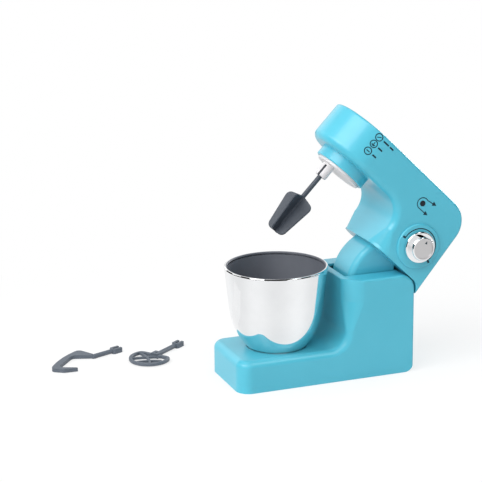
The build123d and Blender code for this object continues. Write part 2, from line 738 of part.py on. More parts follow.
# Battery tray: a box open below, with a lug in front for the screw of the door
with BuildPart() as battery_tray:
    with BuildSketch(Plane.XY.offset(BODY_WALL)):
        with Locations((TRAY_MIDDLE, 0)):
            Rectangle(TRAY_INNER_LENGTH + 2 * TRAY_WALL, TRAY_INNER_WIDTH + 2 * TRAY_WALL)
    extrude(amount=TRAY_TOP_Z - BODY_WALL)
    with BuildSketch(Plane.XY.offset(BODY_WALL)):
        with Locations((TRAY_MIDDLE, 0)):
            Rectangle(TRAY_INNER_LENGTH, TRAY_INNER_WIDTH)
    extrude(amount=TRAY_TOP_Z - TRAY_WALL - BODY_WALL, mode=Mode.SUBTRACT)
    with BuildSketch(Plane.XY.offset(BODY_WALL)):
        with Locations((TRAY_FRONT, 0)):
            Rectangle(DOOR_TONGUE, LUG_WIDTH, align=(Align.MAX, Align.CENTER))
    extrude(amount=LUG_HEIGHT)
    with BuildSketch(Plane.XY.offset(BODY_WALL)):
        with Locations((TRAY_FRONT - DOOR_TONGUE / 2, 0)):
            Circle(SCREW_RADIUS + RUNNING_FIT)
    extrude(amount=DOOR_SCREW_LENGTH, mode=Mode.SUBTRACT)
battery_tray.part.label = "battery_tray"
export_step(battery_tray.part, "parts/battery_tray.step")

with BuildPart() as batteries:
    for side in (-1, 1):
        middle = (TRAY_MIDDLE, side * CELL_PITCH / 2, CELL_Z)
        can_end = CELL_LENGTH / 2 - CELL_NIB
        low = (middle[0] - side * CELL_LENGTH / 2, middle[1], CELL_Z)
        shoulder = (middle[0] + side * can_end, middle[1], CELL_Z)
        nib = (middle[0] + side * CELL_LENGTH / 2, middle[1], CELL_Z)
        add(rod(CELL_RADIUS, low, shoulder))
        add(rod(CELL_NIB_RADIUS, shoulder, nib))
batteries.part.label = "batteries"
export_step(batteries.part, "parts/batteries.step")

# Battery contacts: one strip across both cells at the front, two single tabs at the rear
with BuildPart() as battery_contacts:
    for end in (-1, 1):
        wall_x = TRAY_MIDDLE + end * (TRAY_INNER_LENGTH / 2 - CONTACT_THICKNESS / 2)
        for side in (-1, 1):
            with Locations((wall_x, side * CELL_PITCH / 2, CELL_Z)):
                Box(CONTACT_THICKNESS, CONTACT_HEIGHT, CONTACT_HEIGHT)
            tip = (TRAY_MIDDLE + end * CELL_LENGTH / 2, side * CELL_PITCH / 2, CELL_Z)
            add(rod(CONTACT_BUMP_RADIUS, (wall_x, side * CELL_PITCH / 2, CELL_Z), tip))
    with Locations((TRAY_MIDDLE - TRAY_INNER_LENGTH / 2 + CONTACT_THICKNESS / 2, 0, CELL_Z)):
        Box(CONTACT_THICKNESS, CELL_PITCH, CONTACT_HEIGHT / 2)
battery_contacts.part.label = "battery_contacts"
export_step(battery_contacts.part, "parts/battery_contacts.step")

with BuildPart() as battery_door:
    with BuildSketch():
        with Locations((DOOR_MIDDLE, 0)):
            Rectangle(DOOR_REAR - DOOR_FRONT, TRAY_INNER_WIDTH)
    extrude(amount=BODY_WALL)
    with BuildSketch():
        with Locations((TRAY_FRONT - DOOR_TONGUE / 2, 0)):
            Circle(SCREW_RADIUS + RUNNING_FIT)
    extrude(amount=BODY_WALL, mode=Mode.SUBTRACT)
    with BuildSketch():
        with Locations((TRAY_FRONT - DOOR_TONGUE / 2, 0)):
            Circle(SCREW_HEAD_RADIUS + SLIP_FIT)
    extrude(amount=SCREW_HEAD + SLIP_FIT, mode=Mode.SUBTRACT)
battery_door.part.label = "battery_door"
export_step(battery_door.part, "parts/battery_door.step")

with BuildPart() as battery_door_screw:
    door_seat = (TRAY_FRONT - DOOR_TONGUE / 2, 0, SCREW_HEAD + SLIP_FIT)
    add(screw_at(DOOR_SCREW_LENGTH, door_seat, (0, 0, -1)))
battery_door_screw.part.label = "battery_door_screw"
export_step(battery_door_screw.part, "parts/battery_door_screw.step")

# Hinge: a solid pin on the far side, a hollow sleeve for the lead on the knob side
PIN_INNER_Y = NECK_HALF - NECK_WALL - PIN_INNER_STEP
PIN_OUTER_Y = EAR_Y + EAR_WALL
with BuildPart() as hinge_pin:
    add(rod(PIN_RADIUS, (HINGE_X, PIN_INNER_Y, HINGE_Z), (HINGE_X, PIN_OUTER_Y, HINGE_Z)))
    pin_end = (HINGE_X, PIN_OUTER_Y + PIN_FLANGE, HINGE_Z)
    add(rod(PIN_FLANGE_RADIUS, (HINGE_X, PIN_OUTER_Y, HINGE_Z), pin_end))
hinge_pin.part.label = "hinge_pin"
export_step(hinge_pin.part, "parts/hinge_pin.step")

with BuildPart() as hinge_sleeve:
    sleeve_end = (HINGE_X, -PIN_OUTER_Y - PIN_FLANGE, HINGE_Z)
    add(rod(PIN_RADIUS, (HINGE_X, -PIN_INNER_Y, HINGE_Z), (HINGE_X, -PIN_OUTER_Y, HINGE_Z)))
    add(rod(PIN_FLANGE_RADIUS, (HINGE_X, -PIN_OUTER_Y, HINGE_Z), sleeve_end))
    add(rod(SLEEVE_BORE, (HINGE_X, -PIN_INNER_Y, HINGE_Z), sleeve_end), mode=Mode.SUBTRACT)
hinge_sleeve.part.label = "hinge_sleeve"
export_step(hinge_sleeve.part, "parts/hinge_sleeve.step")

# Lead in the base: from the battery tray up to the hinge axis, ending in the sleeve
with BuildPart() as base_lead:
    tray_side = -TRAY_INNER_WIDTH / 2 - TRAY_WALL
    add(
        lead(
            [
                (HINGE_X, -EAR_Y, HINGE_Z),
                (HINGE_X, -LEAD_SIDE, HINGE_Z),
                (TRAY_MIDDLE, -LEAD_SIDE, LEAD_LOW),
                (TRAY_MIDDLE, tray_side, LEAD_LOW),
            ]
        )
    )
base_lead.part.label = "base_lead"
export_step(base_lead.part, "parts/base_lead.step")

# Head shells: the hollow head, split along its middle, with posts, floor openings and neck opening
with BuildPart() as head_hollow:
    add(head_form(BODY_WALL, False))
    with BuildSketch(Plane.XZ):
        with Locations(HEAD_POSTS):
            Circle(SCREW_POST_RADIUS)
    extrude(amount=HALF_WIDTH, both=True, mode=Mode.SUBTRACT)
    with BuildSketch(Plane.XY.offset(FLOOR_Z)):
        with Locations((SPINDLE_X, 0)):
            with PolarLocations(GEAR_PLATE_SCREW_CIRCLE, GEAR_PLATE_SCREWS, GEAR_PLATE_SCREW_TURN):
                Circle(GEAR_PLATE_POST_RADIUS)
    extrude(amount=COLLAR_FLANGE, mode=Mode.SUBTRACT)
    neck_posts = [on_hinge_circle(reach, angle) for reach, angle in NECK_POSTS]
    for side in (-1, 1):
        with BuildSketch(Plane.XZ.offset(side * NECK_HALF)):
            with Locations(neck_posts):
                Circle(NECK_POST_RADIUS)
        extrude(amount=side * HALF_WIDTH, mode=Mode.SUBTRACT)
    across = BOARD_LENGTH / 2 - BOARD_POST_INSET
    upward = BOARD_HEIGHT / 2 - BOARD_POST_INSET
    board_posts = [(DIAL_X + i * across, DIAL_Z + j * upward) for i in (-1, 1) for j in (-1, 1)]
    with BuildSketch(Plane.XZ.offset(-BOARD_Y)):
        with Locations(board_posts):
            Circle(BOARD_POST_RADIUS)
        with Locations((LENS_X, LENS_Z)):
            Circle(LED_RADIUS + LED_BOSS_WALL)
    extrude(amount=HALF_WIDTH, mode=Mode.SUBTRACT)

with BuildPart() as head_casing:
    add(head_form(0, True))
    top_edges = head_casing.edges().filter_by(GeomType.CIRCLE).group_by(Axis.Z)[-1]
    fillet(top_edges.sort_by(Axis.X)[0], FINE_EDGE)
    add(head_hollow.part, mode=Mode.SUBTRACT)
    with BuildSketch(Plane.XY.offset(UNDERSIDE_Z)):
        with Locations((SPINDLE_X, 0)):
            Circle(COLLAR_RADIUS + RUNNING_FIT)
    extrude(amount=BODY_WALL, mode=Mode.SUBTRACT)
    with BuildSketch(Plane.XY.offset(FLOOR_Z + COLLAR_FLANGE)):
        with Locations((SPINDLE_X, 0)):
            with PolarLocations(GEAR_PLATE_SCREW_CIRCLE, GEAR_PLATE_SCREWS, GEAR_PLATE_SCREW_TURN):
                Circle(SCREW_RADIUS + RUNNING_FIT)
    extrude(amount=-PLATE_SCREW_LENGTH + GEAR_PLATE, mode=Mode.SUBTRACT)
    neck_opening = neck_sector(NECK_RADIUS + SLIP_FIT, NECK_LOW_ANGLE, NECK_HIGH_ANGLE)
    extrude(neck_opening, amount=NECK_HALF, both=True, mode=Mode.SUBTRACT)
    with BuildSketch(Plane.XZ):
        with Locations(HEAD_POSTS):
            Circle(SCREW_RADIUS + RUNNING_FIT)
    extrude(amount=HEAD_SCREW_LENGTH, both=True, mode=Mode.SUBTRACT)
    for side in (-1, 1):
        with BuildSketch(Plane.XZ.offset(side * NECK_HALF)):
            with Locations(neck_posts):
                Circle(SCREW_RADIUS + RUNNING_FIT)
        extrude(amount=side * NECK_SCREW_LENGTH, mode=Mode.SUBTRACT)

with BuildPart() as head_shell_near:
    add(head_casing.part)
    split(bisect_by=Plane.XZ, keep=Keep.TOP)
    with BuildSketch(Plane.XZ.offset(HALF_WIDTH)):
        with Locations((DIAL_X, DIAL_Z)):
            Circle(DIAL_PAD_RADIUS)
    extrude(amount=DIAL_PAD_HEIGHT)
    fillet(head_shell_near.edges().group_by(Axis.Y)[0], DIAL_PAD_ROUND)
    with BuildSketch(Plane.XZ.offset(HALF_WIDTH + DIAL_PAD_HEIGHT)):
        with Locations((DIAL_X, DIAL_Z)):
            Circle(SPINDLE_OPENING)
    extrude(amount=-BODY_WALL - DIAL_PAD_HEIGHT, mode=Mode.SUBTRACT)
    with BuildSketch(Plane.XZ.offset(-BOARD_Y)):
        with Locations(board_posts):
            Circle(SCREW_RADIUS + RUNNING_FIT)
    extrude(amount=BOARD_SCREW_LENGTH, mode=Mode.SUBTRACT)
    with BuildSketch(Plane.XZ.offset(HALF_WIDTH)):
        with Locations((LENS_X, LENS_Z)):
            Circle(LENS_RADIUS + RUNNING_FIT)
    extrude(amount=-BODY_WALL, mode=Mode.SUBTRACT)
    with BuildSketch(Plane.XZ.offset(INNER_HALF)):
        with Locations((LENS_X, LENS_Z)):
            Circle(LED_RADIUS + RUNNING_FIT)
    extrude(amount=-HALF_WIDTH, mode=Mode.SUBTRACT)
head_shell_near.part = swing_open(head_shell_near.part)
head_shell_near.part.label = "head_shell_near"
export_step(head_shell_near.part, "parts/head_shell_near.step")

with BuildPart() as head_shell_far:
    add(head_casing.part)
    split(bisect_by=Plane.XZ, keep=Keep.BOTTOM)
    with BuildSketch(Plane.XZ.offset(-HEAD_SCREW_SEAT)):
        with Locations(HEAD_POSTS):
            Circle(SCREW_HEAD_RADIUS + SLIP_FIT)
    extrude(amount=-HALF_WIDTH, mode=Mode.SUBTRACT)
head_shell_far.part = swing_open(head_shell_far.part)
head_shell_far.part.label = "head_shell_far"
export_step(head_shell_far.part, "parts/head_shell_far.step")

with BuildPart() as head_screws:
    for x, z in HEAD_POSTS:
        add(screw_at(HEAD_SCREW_LENGTH, (x, HEAD_SCREW_SEAT, z), (0, 1, 0)))
head_screws.part = swing_open(head_screws.part)
head_screws.part.label = "head_screws"
export_step(head_screws.part, "parts/head_screws.step")

# Neck arm: a hollow sector about the hinge that carries the head
with BuildPart() as neck_arm:
    extrude(neck_sector(NECK_RADIUS, NECK_LOW_ANGLE, NECK_HIGH_ANGLE), amount=NECK_HALF, both=True)
    fillet(neck_arm.edges().filter_by(GeomType.CIRCLE), NECK_EDGE)
    with BuildSketch(Plane.XZ):
        with Locations((HINGE_X, HINGE_Z)):
            Circle(HINGE_BOSS_RADIUS)
    extrude(amount=NECK_HALF, both=True)
    with BuildSketch(Plane.XZ):
        with Locations((HINGE_X, HINGE_Z)):
            Circle(NECK_RADIUS - NECK_WALL)
    extrude(amount=NECK_HALF - NECK_WALL, both=True, mode=Mode.SUBTRACT)
    with BuildSketch(Plane.XZ):
        with Locations((HINGE_X, HINGE_Z)):
            Circle(PIN_RADIUS + RUNNING_FIT)
        with Locations(neck_posts):
            Circle(SCREW_RADIUS + RUNNING_FIT)
    extrude(amount=NECK_HALF, both=True, mode=Mode.SUBTRACT)
neck_arm.part = swing_open(neck_arm.part)
neck_arm.part.label = "neck_arm"
export_step(neck_arm.part, "parts/neck_arm.step")

with BuildPart() as neck_screws:
    for side in (-1, 1):
        for x, z in neck_posts:
            add(screw_at(NECK_SCREW_LENGTH, (x, side * (NECK_HALF - NECK_WALL), z), (0, -side, 0)))
neck_screws.part = swing_open(neck_screws.part)
neck_screws.part.label = "neck_screws"
export_step(neck_screws.part, "parts/neck_screws.step")

# Friction washers: between the neck arm and the ears, so that the head stays where it is put
with BuildPart() as friction_washers:
    for side in (-1, 1):
        with BuildSketch(Plane.XZ.offset(side * NECK_HALF)):
            with Locations((HINGE_X, HINGE_Z)):
                Circle(WASHER_RADIUS)
                Circle(PIN_RADIUS + RUNNING_FIT, mode=Mode.SUBTRACT)
        extrude(amount=side * WASHER_THICKNESS)
friction_washers.part = swing_open(friction_washers.part)
friction_washers.part.label = "friction_washers"
export_step(friction_washers.part, "parts/friction_washers.step")

# Spindle collar: round collar under the nose, with a flange on the floor of the head
with BuildPart() as spindle_collar:
    with BuildSketch(Plane.XY.offset(COLLAR_Z)):
        with Locations((SPINDLE_X, 0)):
            Circle(COLLAR_RADIUS)
    extrude(amount=GEAR_PLATE_Z - COLLAR_Z)
    fillet(spindle_collar.edges().group_by(Axis.Z)[0], FINE_EDGE / 2)
    with BuildSketch(Plane.XY.offset(FLOOR_Z)):
        with Locations((SPINDLE_X, 0)):
            Circle(COLLAR_FLANGE_RADIUS)
    extrude(amount=COLLAR_FLANGE)
    with BuildSketch(Plane.XY.offset(COLLAR_Z)):
        with Locations((SPINDLE_X, 0)):
            Circle(RING_RADIUS + RUNNING_FIT)
    extrude(amount=GEAR_PLATE_Z - COLLAR_Z, mode=Mode.SUBTRACT)
    with BuildSketch(Plane.XY.offset(COLLAR_Z)):
        with Locations((SPINDLE_X, 0)):
            Circle(DISC_RADIUS + FREE_GAP)
    extrude(amount=DISC_TOP_Z - COLLAR_Z + FREE_GAP, mode=Mode.SUBTRACT)
spindle_collar.part = swing_open(spindle_collar.part)
spindle_collar.part.label = "spindle_collar"
export_step(spindle_collar.part, "parts/spindle_collar.step")

with BuildPart() as ring_gear:
    ring_teeth = gear_outline(RING_TEETH, DEDENDUM, ADDENDUM, -TOOTH_SLACK, 0)
    with BuildSketch(Plane.XY.offset(RING_Z)):
        with Locations((SPINDLE_X, 0)):
            Circle(RING_RADIUS)
            add(ring_teeth, mode=Mode.SUBTRACT)
    extrude(amount=RING_WIDTH)
ring_gear.part = swing_open(ring_gear.part)
ring_gear.part.label = "ring_gear"
export_step(ring_gear.part, "parts/ring_gear.step")

# Planet carrier: white disc with a shaft that runs up through the gear plate
CLIP_Z = CARRIER_GEAR_TOP_Z
with BuildPart() as planet_carrier:
    with BuildSketch(Plane.XY.offset(DISC_Z)):
        with Locations((SPINDLE_X, 0)):
            Circle(DISC_RADIUS)
    extrude(amount=DISC_THICKNESS)
    fillet(planet_carrier.edges().group_by(Axis.Z)[0], DISC_EDGE)
    with BuildSketch(Plane.XY.offset(DISC_Z)):
        with Locations((HUB_X, 0)):
            Circle(HUB_RADIUS + RUNNING_FIT)
    extrude(amount=DISC_THICKNESS, mode=Mode.SUBTRACT)
    with BuildSketch(Plane.XY.offset(DISC_TOP_Z)):
        with Locations((SPINDLE_X, 0)):
            Circle(CARRIER_SHAFT_RADIUS)
    extrude(amount=CARRIER_GEAR_Z - DISC_TOP_Z)
    with BuildSketch(Plane.XY.offset(GEAR_PLATE_Z - SLIP_FIT)):
        with Locations((SPINDLE_X, 0)):
            Circle(CARRIER_SHOULDER_RADIUS)
    extrude(amount=-CARRIER_SHOULDER)
    with BuildSketch(Plane.XY.offset(CARRIER_GEAR_Z)):
        with Locations((SPINDLE_X, 0)):
            add(drive_section(0))
    extrude(amount=GEAR_WIDTH)
    with BuildSketch(Plane.XY.offset(CLIP_Z)):
        with Locations((SPINDLE_X, 0)):
            Circle(CLIP_NECK)
    extrude(amount=CLIP_THICKNESS)
    with BuildSketch(Plane.XY.offset(CLIP_Z + CLIP_THICKNESS)):
        with Locations((SPINDLE_X, 0)):
            add(drive_section(0))
    extrude(amount=CARRIER_TOP)
planet_carrier.part = swing_open(planet_carrier.part)
planet_carrier.part.label = "planet_carrier"
export_step(planet_carrier.part, "parts/planet_carrier.step")

with BuildPart() as carrier_gear:
    with BuildSketch(Plane.XY.offset(CARRIER_GEAR_Z)):
        with Locations((SPINDLE_X, 0)):
            add(outer_gear(CARRIER_TEETH, 0))
            add(drive_section(RUNNING_FIT), mode=Mode.SUBTRACT)
    extrude(amount=GEAR_WIDTH)
carrier_gear.part = swing_open(carrier_gear.part)
carrier_gear.part.label = "carrier_gear"
export_step(carrier_gear.part, "parts/carrier_gear.step")

# Carrier clip: open ring that snaps into the neck of the carrier shaft
with BuildPart() as carrier_clip:
    with BuildSketch(Plane.XY.offset(CLIP_Z)):
        with Locations((SPINDLE_X, 0)):
            Circle(CLIP_RADIUS)
            Circle(CLIP_NECK + RUNNING_FIT, mode=Mode.SUBTRACT)
            Rectangle(CLIP_RADIUS, CLIP_NECK, align=(Align.MIN, Align.CENTER), mode=Mode.SUBTRACT)
    extrude(amount=CLIP_THICKNESS)
carrier_clip.part = swing_open(carrier_clip.part)
carrier_clip.part.label = "carrier_clip"
export_step(carrier_clip.part, "parts/carrier_clip.step")

# Tool hub: white hub with a socket for the fork of a tool, a web between its prongs and side slots
with BuildPart() as tool_hub:
    with BuildSketch(Plane.XY.offset(HUB_LOW_Z)):
        Circle(HUB_RADIUS)
    extrude(amount=DISC_TOP_Z + SLIP_FIT - HUB_LOW_Z)
    chamfer(tool_hub.edges().group_by(Axis.Z)[0], DISC_EDGE)
    with BuildSketch(Plane.XY.offset(HUB_LOW_Z)):
        Rectangle(FORK_WIDTH + 2 * SLIP_FIT, FORK_THICKNESS + 2 * SLIP_FIT)
        Rectangle(SOCKET_WEB, 2 * HUB_RADIUS, mode=Mode.SUBTRACT)
        Rectangle(2 * HUB_RADIUS, HUB_SLOT)
        Rectangle(SOCKET_WEB, 2 * HUB_RADIUS, mode=Mode.SUBTRACT)
    extrude(amount=SOCKET_DEPTH, mode=Mode.SUBTRACT)
    with BuildSketch(Plane.XY.offset(HUB_LOW_Z)):
        Rectangle(FORK_WIDTH + 2 * SLIP_FIT, FORK_THICKNESS + 2 * SLIP_FIT)
    extrude(amount=FORK_BRIDGE + SLIP_FIT, mode=Mode.SUBTRACT)
    with BuildSketch(Plane.XY.offset(DISC_TOP_Z + SLIP_FIT)):
        Circle(HUB_COLLAR_RADIUS)
    extrude(amount=HUB_COLLAR)
    with BuildSketch(Plane.XY.offset(PLANET_Z)):
        add(drive_section(0))
    extrude(amount=PLANET_WIDTH)
tool_hub.part = swing_open(tool_hub.part.rotate(Axis.Z, PADDLE_TURN).moved(Location((HUB_X, 0, 0))))
tool_hub.part.label = "tool_hub"
export_step(tool_hub.part, "parts/tool_hub.step")

with BuildPart() as planet_gear:
    planet_bore = drive_section(RUNNING_FIT).rotate(Axis.Z, PADDLE_TURN)
    with BuildSketch(Plane.XY.offset(PLANET_Z)):
        with Locations((HUB_X, 0)):
            add(outer_gear(PLANET_TEETH, 0))
            add(planet_bore, mode=Mode.SUBTRACT)
    extrude(amount=PLANET_WIDTH)
planet_gear.part = swing_open(planet_gear.part)
planet_gear.part.label = "planet_gear"
export_step(planet_gear.part, "parts/planet_gear.step")

# Gear plate: carries the shaft of the carrier, the axle and the legs of the motor bracket
LEG_PLACES = [
    (
        MOTOR_X + BRACKET_LEG_CIRCLE * cos(radians(BRACKET_LEG_ANGLE)),
        side * BRACKET_LEG_CIRCLE * sin(radians(BRACKET_LEG_ANGLE)),
    )
    for side in (-1, 1)
]
with BuildPart() as gear_plate:
    with BuildSketch(Plane.XY.offset(GEAR_PLATE_Z)):
        with Locations((SPINDLE_X, 0)):
            Circle(GEAR_PLATE_RADIUS)
            Rectangle(
                LEG_PLACES[0][0] + BRACKET_LEG_RADIUS - SPINDLE_X,
                GEAR_PLATE_TAIL_WIDTH,
                align=(Align.MIN, Align.CENTER),
            )
        with Locations((SPINDLE_X, 0)):
            Circle(CARRIER_SHAFT_RADIUS + RUNNING_FIT, mode=Mode.SUBTRACT)
            with PolarLocations(GEAR_PLATE_SCREW_CIRCLE, GEAR_PLATE_SCREWS, GEAR_PLATE_SCREW_TURN):
                Circle(SCREW_RADIUS + RUNNING_FIT, mode=Mode.SUBTRACT)
        with Locations((COMPOUND_X, 0)):
            Circle(AXLE_RADIUS + RUNNING_FIT, mode=Mode.SUBTRACT)
        with Locations(LEG_PLACES):
            Circle(SCREW_RADIUS + RUNNING_FIT, mode=Mode.SUBTRACT)
    extrude(amount=GEAR_PLATE)
gear_plate.part = swing_open(gear_plate.part)
gear_plate.part.label = "gear_plate"
export_step(gear_plate.part, "parts/gear_plate.step")

with BuildPart() as gear_plate_screws:
    for number in range(GEAR_PLATE_SCREWS):
        turn = radians(GEAR_PLATE_SCREW_TURN + number * 360 / GEAR_PLATE_SCREWS)
        x = SPINDLE_X + GEAR_PLATE_SCREW_CIRCLE * cos(turn)
        y = GEAR_PLATE_SCREW_CIRCLE * sin(turn)
        add(screw_at(PLATE_SCREW_LENGTH, (x, y, GEAR_PLATE_TOP_Z), (0, 0, 1)))
gear_plate_screws.part = swing_open(gear_plate_screws.part)
gear_plate_screws.part.label = "gear_plate_screws"
export_step(gear_plate_screws.part, "parts/gear_plate_screws.step")

with BuildPart() as compound_axle:
    add(rod(AXLE_RADIUS, (COMPOUND_X, 0, GEAR_PLATE_Z), (COMPOUND_X, 0, MOTOR_Z)))
compound_axle.part = swing_open(compound_axle.part)
compound_axle.part.label = "compound_axle"
export_step(compound_axle.part, "parts/compound_axle.step")

# Compound gear: a small gear on the carrier gear and a large one on the motor pinion, in one piece
small_turn = 180 / COMPOUND_SMALL_TEETH
with BuildPart() as compound_gear:
    with BuildSketch(Plane.XY.offset(CARRIER_GEAR_Z)):
        with Locations((COMPOUND_X, 0)):
            add(outer_gear(COMPOUND_SMALL_TEETH, small_turn))
    extrude(amount=BIG_GEAR_Z - CARRIER_GEAR_Z)
    with BuildSketch(Plane.XY.offset(BIG_GEAR_Z)):
        with Locations((COMPOUND_X, 0)):
            add(outer_gear(COMPOUND_BIG_TEETH, 0))
    extrude(amount=BIG_GEAR_WIDTH)
    with BuildSketch(Plane.XY.offset(CARRIER_GEAR_Z)):
        with Locations((COMPOUND_X, 0)):
            Circle(AXLE_RADIUS + RUNNING_FIT)
    extrude(amount=BIG_GEAR_TOP_Z - CARRIER_GEAR_Z, mode=Mode.SUBTRACT)
compound_gear.part = swing_open(compound_gear.part)
compound_gear.part.label = "compound_gear"
export_step(compound_gear.part, "parts/compound_gear.step")

# Motor bracket: a plate on two legs with a cup for the motor, which also holds the top of the axle
with BuildPart() as motor_bracket:
    with BuildSketch(Plane.XY.offset(BRACKET_Z)):
        with Locations((MOTOR_X, 0)):
            Circle(BRACKET_RADIUS)
            Rectangle(
                MOTOR_X - COMPOUND_X, 2 * BRACKET_ARM_RADIUS, align=(Align.MAX, Align.CENTER)
            )
        with Locations((COMPOUND_X, 0)):
            Circle(BRACKET_ARM_RADIUS)
    extrude(amount=BRACKET_PLATE)
    with BuildSketch(Plane.XY.offset(MOTOR_Z)):
        with Locations((MOTOR_X, 0)):
            Circle(MOTOR_RADIUS + SLIP_FIT + BRACKET_CUP_WALL)
    extrude(amount=BRACKET_CUP_HEIGHT)
    with BuildSketch(Plane.XY.offset(MOTOR_Z)):
        with Locations(LEG_PLACES):
            Circle(SCREW_HEAD_RADIUS + SLIP_FIT)
    extrude(amount=BRACKET_CUP_HEIGHT, mode=Mode.SUBTRACT)
    with BuildSketch(Plane.XY.offset(MOTOR_Z)):
        with Locations((MOTOR_X, 0)):
            Circle(MOTOR_RADIUS + SLIP_FIT)
    extrude(amount=BRACKET_CUP_HEIGHT, mode=Mode.SUBTRACT)
    with BuildSketch(Plane.XY.offset(GEAR_PLATE_TOP_Z)):
        with Locations(LEG_PLACES):
            Circle(BRACKET_LEG_RADIUS)
    extrude(amount=BRACKET_Z - GEAR_PLATE_TOP_Z)
    with BuildSketch(Plane.XY.offset(GEAR_PLATE_TOP_Z)):
        with Locations(LEG_PLACES):
            Circle(SCREW_RADIUS + RUNNING_FIT)
        with Locations((COMPOUND_X, 0)):
            Circle(AXLE_RADIUS + RUNNING_FIT)
        with Locations((MOTOR_X, 0)):
            Circle(PINION_SHAFT_OPENING)
    extrude(amount=MOTOR_Z - GEAR_PLATE_TOP_Z, mode=Mode.SUBTRACT)
motor_bracket.part = swing_open(motor_bracket.part)
motor_bracket.part.label = "motor_bracket"
export_step(motor_bracket.part, "parts/motor_bracket.step")

with BuildPart() as motor_screws:
    for x, y in LEG_PLACES:
        add(screw_at(MOTOR_Z - GEAR_PLATE_Z, (x, y, MOTOR_Z), (0, 0, 1)))
motor_screws.part = swing_open(motor_screws.part)
motor_screws.part.label = "motor_screws"
export_step(motor_screws.part, "parts/motor_screws.step")

with BuildPart() as motor:
    with BuildSketch(Plane.XY.offset(MOTOR_Z)):
        with Locations((MOTOR_X, 0)):
            Circle(MOTOR_RADIUS)
    extrude(amount=MOTOR_HEIGHT)
    fillet(motor.edges().group_by(Axis.Z)[-1], FINE_EDGE / 2)
    with BuildSketch(Plane.XY.offset(MOTOR_Z)):
        with Locations((MOTOR_X, 0)):
            Circle(MOTOR_SHAFT_RADIUS + RUNNING_FIT)
    extrude(amount=MOTOR_SHAFT_INSERT, mode=Mode.SUBTRACT)
motor.part = swing_open(motor.part)
motor.part.label = "motor"
export_step(motor.part, "parts/motor.step")

with BuildPart() as motor_shaft:
    shaft_top = (MOTOR_X, 0, MOTOR_Z + MOTOR_SHAFT_INSERT - SLIP_FIT)
    add(rod(MOTOR_SHAFT_RADIUS, (MOTOR_X, 0, BIG_GEAR_Z), shaft_top))
motor_shaft.part = swing_open(motor_shaft.part)
motor_shaft.part.label = "motor_shaft"
export_step(motor_shaft.part, "parts/motor_shaft.step")

with BuildPart() as motor_pinion:
    with BuildSketch(Plane.XY.offset(BIG_GEAR_Z)):
        with Locations((MOTOR_X, 0)):
            add(outer_gear(PINION_TEETH, 180 / PINION_TEETH))
            Circle(MOTOR_SHAFT_RADIUS + RUNNING_FIT, mode=Mode.SUBTRACT)
    extrude(amount=BIG_GEAR_WIDTH)
motor_pinion.part = swing_open(motor_pinion.part)
motor_pinion.part.label = "motor_pinion"
export_step(motor_pinion.part, "parts/motor_pinion.step")

# Speed switch, board and indicator behind the near side of the head
with BuildPart() as control_board:
    with BuildSketch(Plane.XZ.offset(-BOARD_Y)):
        with Locations((DIAL_X, DIAL_Z)):
            Rectangle(BOARD_LENGTH, BOARD_HEIGHT)
        with Locations(board_posts):
            Circle(SCREW_RADIUS + RUNNING_FIT, mode=Mode.SUBTRACT)
    extrude(amount=-BOARD_THICKNESS)
control_board.part = swing_open(control_board.part)
control_board.part.label = "control_board"
export_step(control_board.part, "parts/control_board.step")

with BuildPart() as board_screws:
    for x, z in board_posts:
        add(screw_at(BOARD_SCREW_LENGTH, (x, BOARD_Y + BOARD_THICKNESS, z), (0, 1, 0)))
board_screws.part = swing_open(board_screws.part)
board_screws.part.label = "board_screws"
export_step(board_screws.part, "parts/board_screws.step")

with BuildPart() as speed_switch:
    with BuildSketch(Plane.XZ.offset(-BOARD_Y)) as switch_face:
        with Locations((DIAL_X, DIAL_Z)):
            Rectangle(SWITCH_SIDE, SWITCH_SIDE)
        fillet(switch_face.vertices(), FINE_EDGE)
        with Locations((DIAL_X, DIAL_Z)):
            Circle(SPINDLE_PIN_RADIUS + RUNNING_FIT, mode=Mode.SUBTRACT)
    extrude(amount=SWITCH_DEPTH)
speed_switch.part = swing_open(speed_switch.part)
speed_switch.part.label = "speed_switch"
export_step(speed_switch.part, "parts/speed_switch.step")

# Knob spindle: turns in the switch and carries the knob on a flat
with BuildPart() as knob_spindle:
    spindle_back = (DIAL_X, BOARD_Y - SLIP_FIT, DIAL_Z)
    add(rod(SPINDLE_PIN_RADIUS, spindle_back, (DIAL_X, KNOB_FRONT_Y + KNOB_WALL, DIAL_Z)))
    with BuildSketch(Plane.XZ.offset(-KNOB_BACK_Y)):
        with Locations((DIAL_X, DIAL_Z + SPINDLE_PIN_FLAT)):
            Rectangle(2 * SPINDLE_PIN_RADIUS, SPINDLE_PIN_RADIUS, align=(Align.CENTER, Align.MIN))
    extrude(amount=KNOB_RADIUS, mode=Mode.SUBTRACT)
knob_spindle.part = swing_open(knob_spindle.part)
knob_spindle.part.label = "knob_spindle"
export_step(knob_spindle.part, "parts/knob_spindle.step")

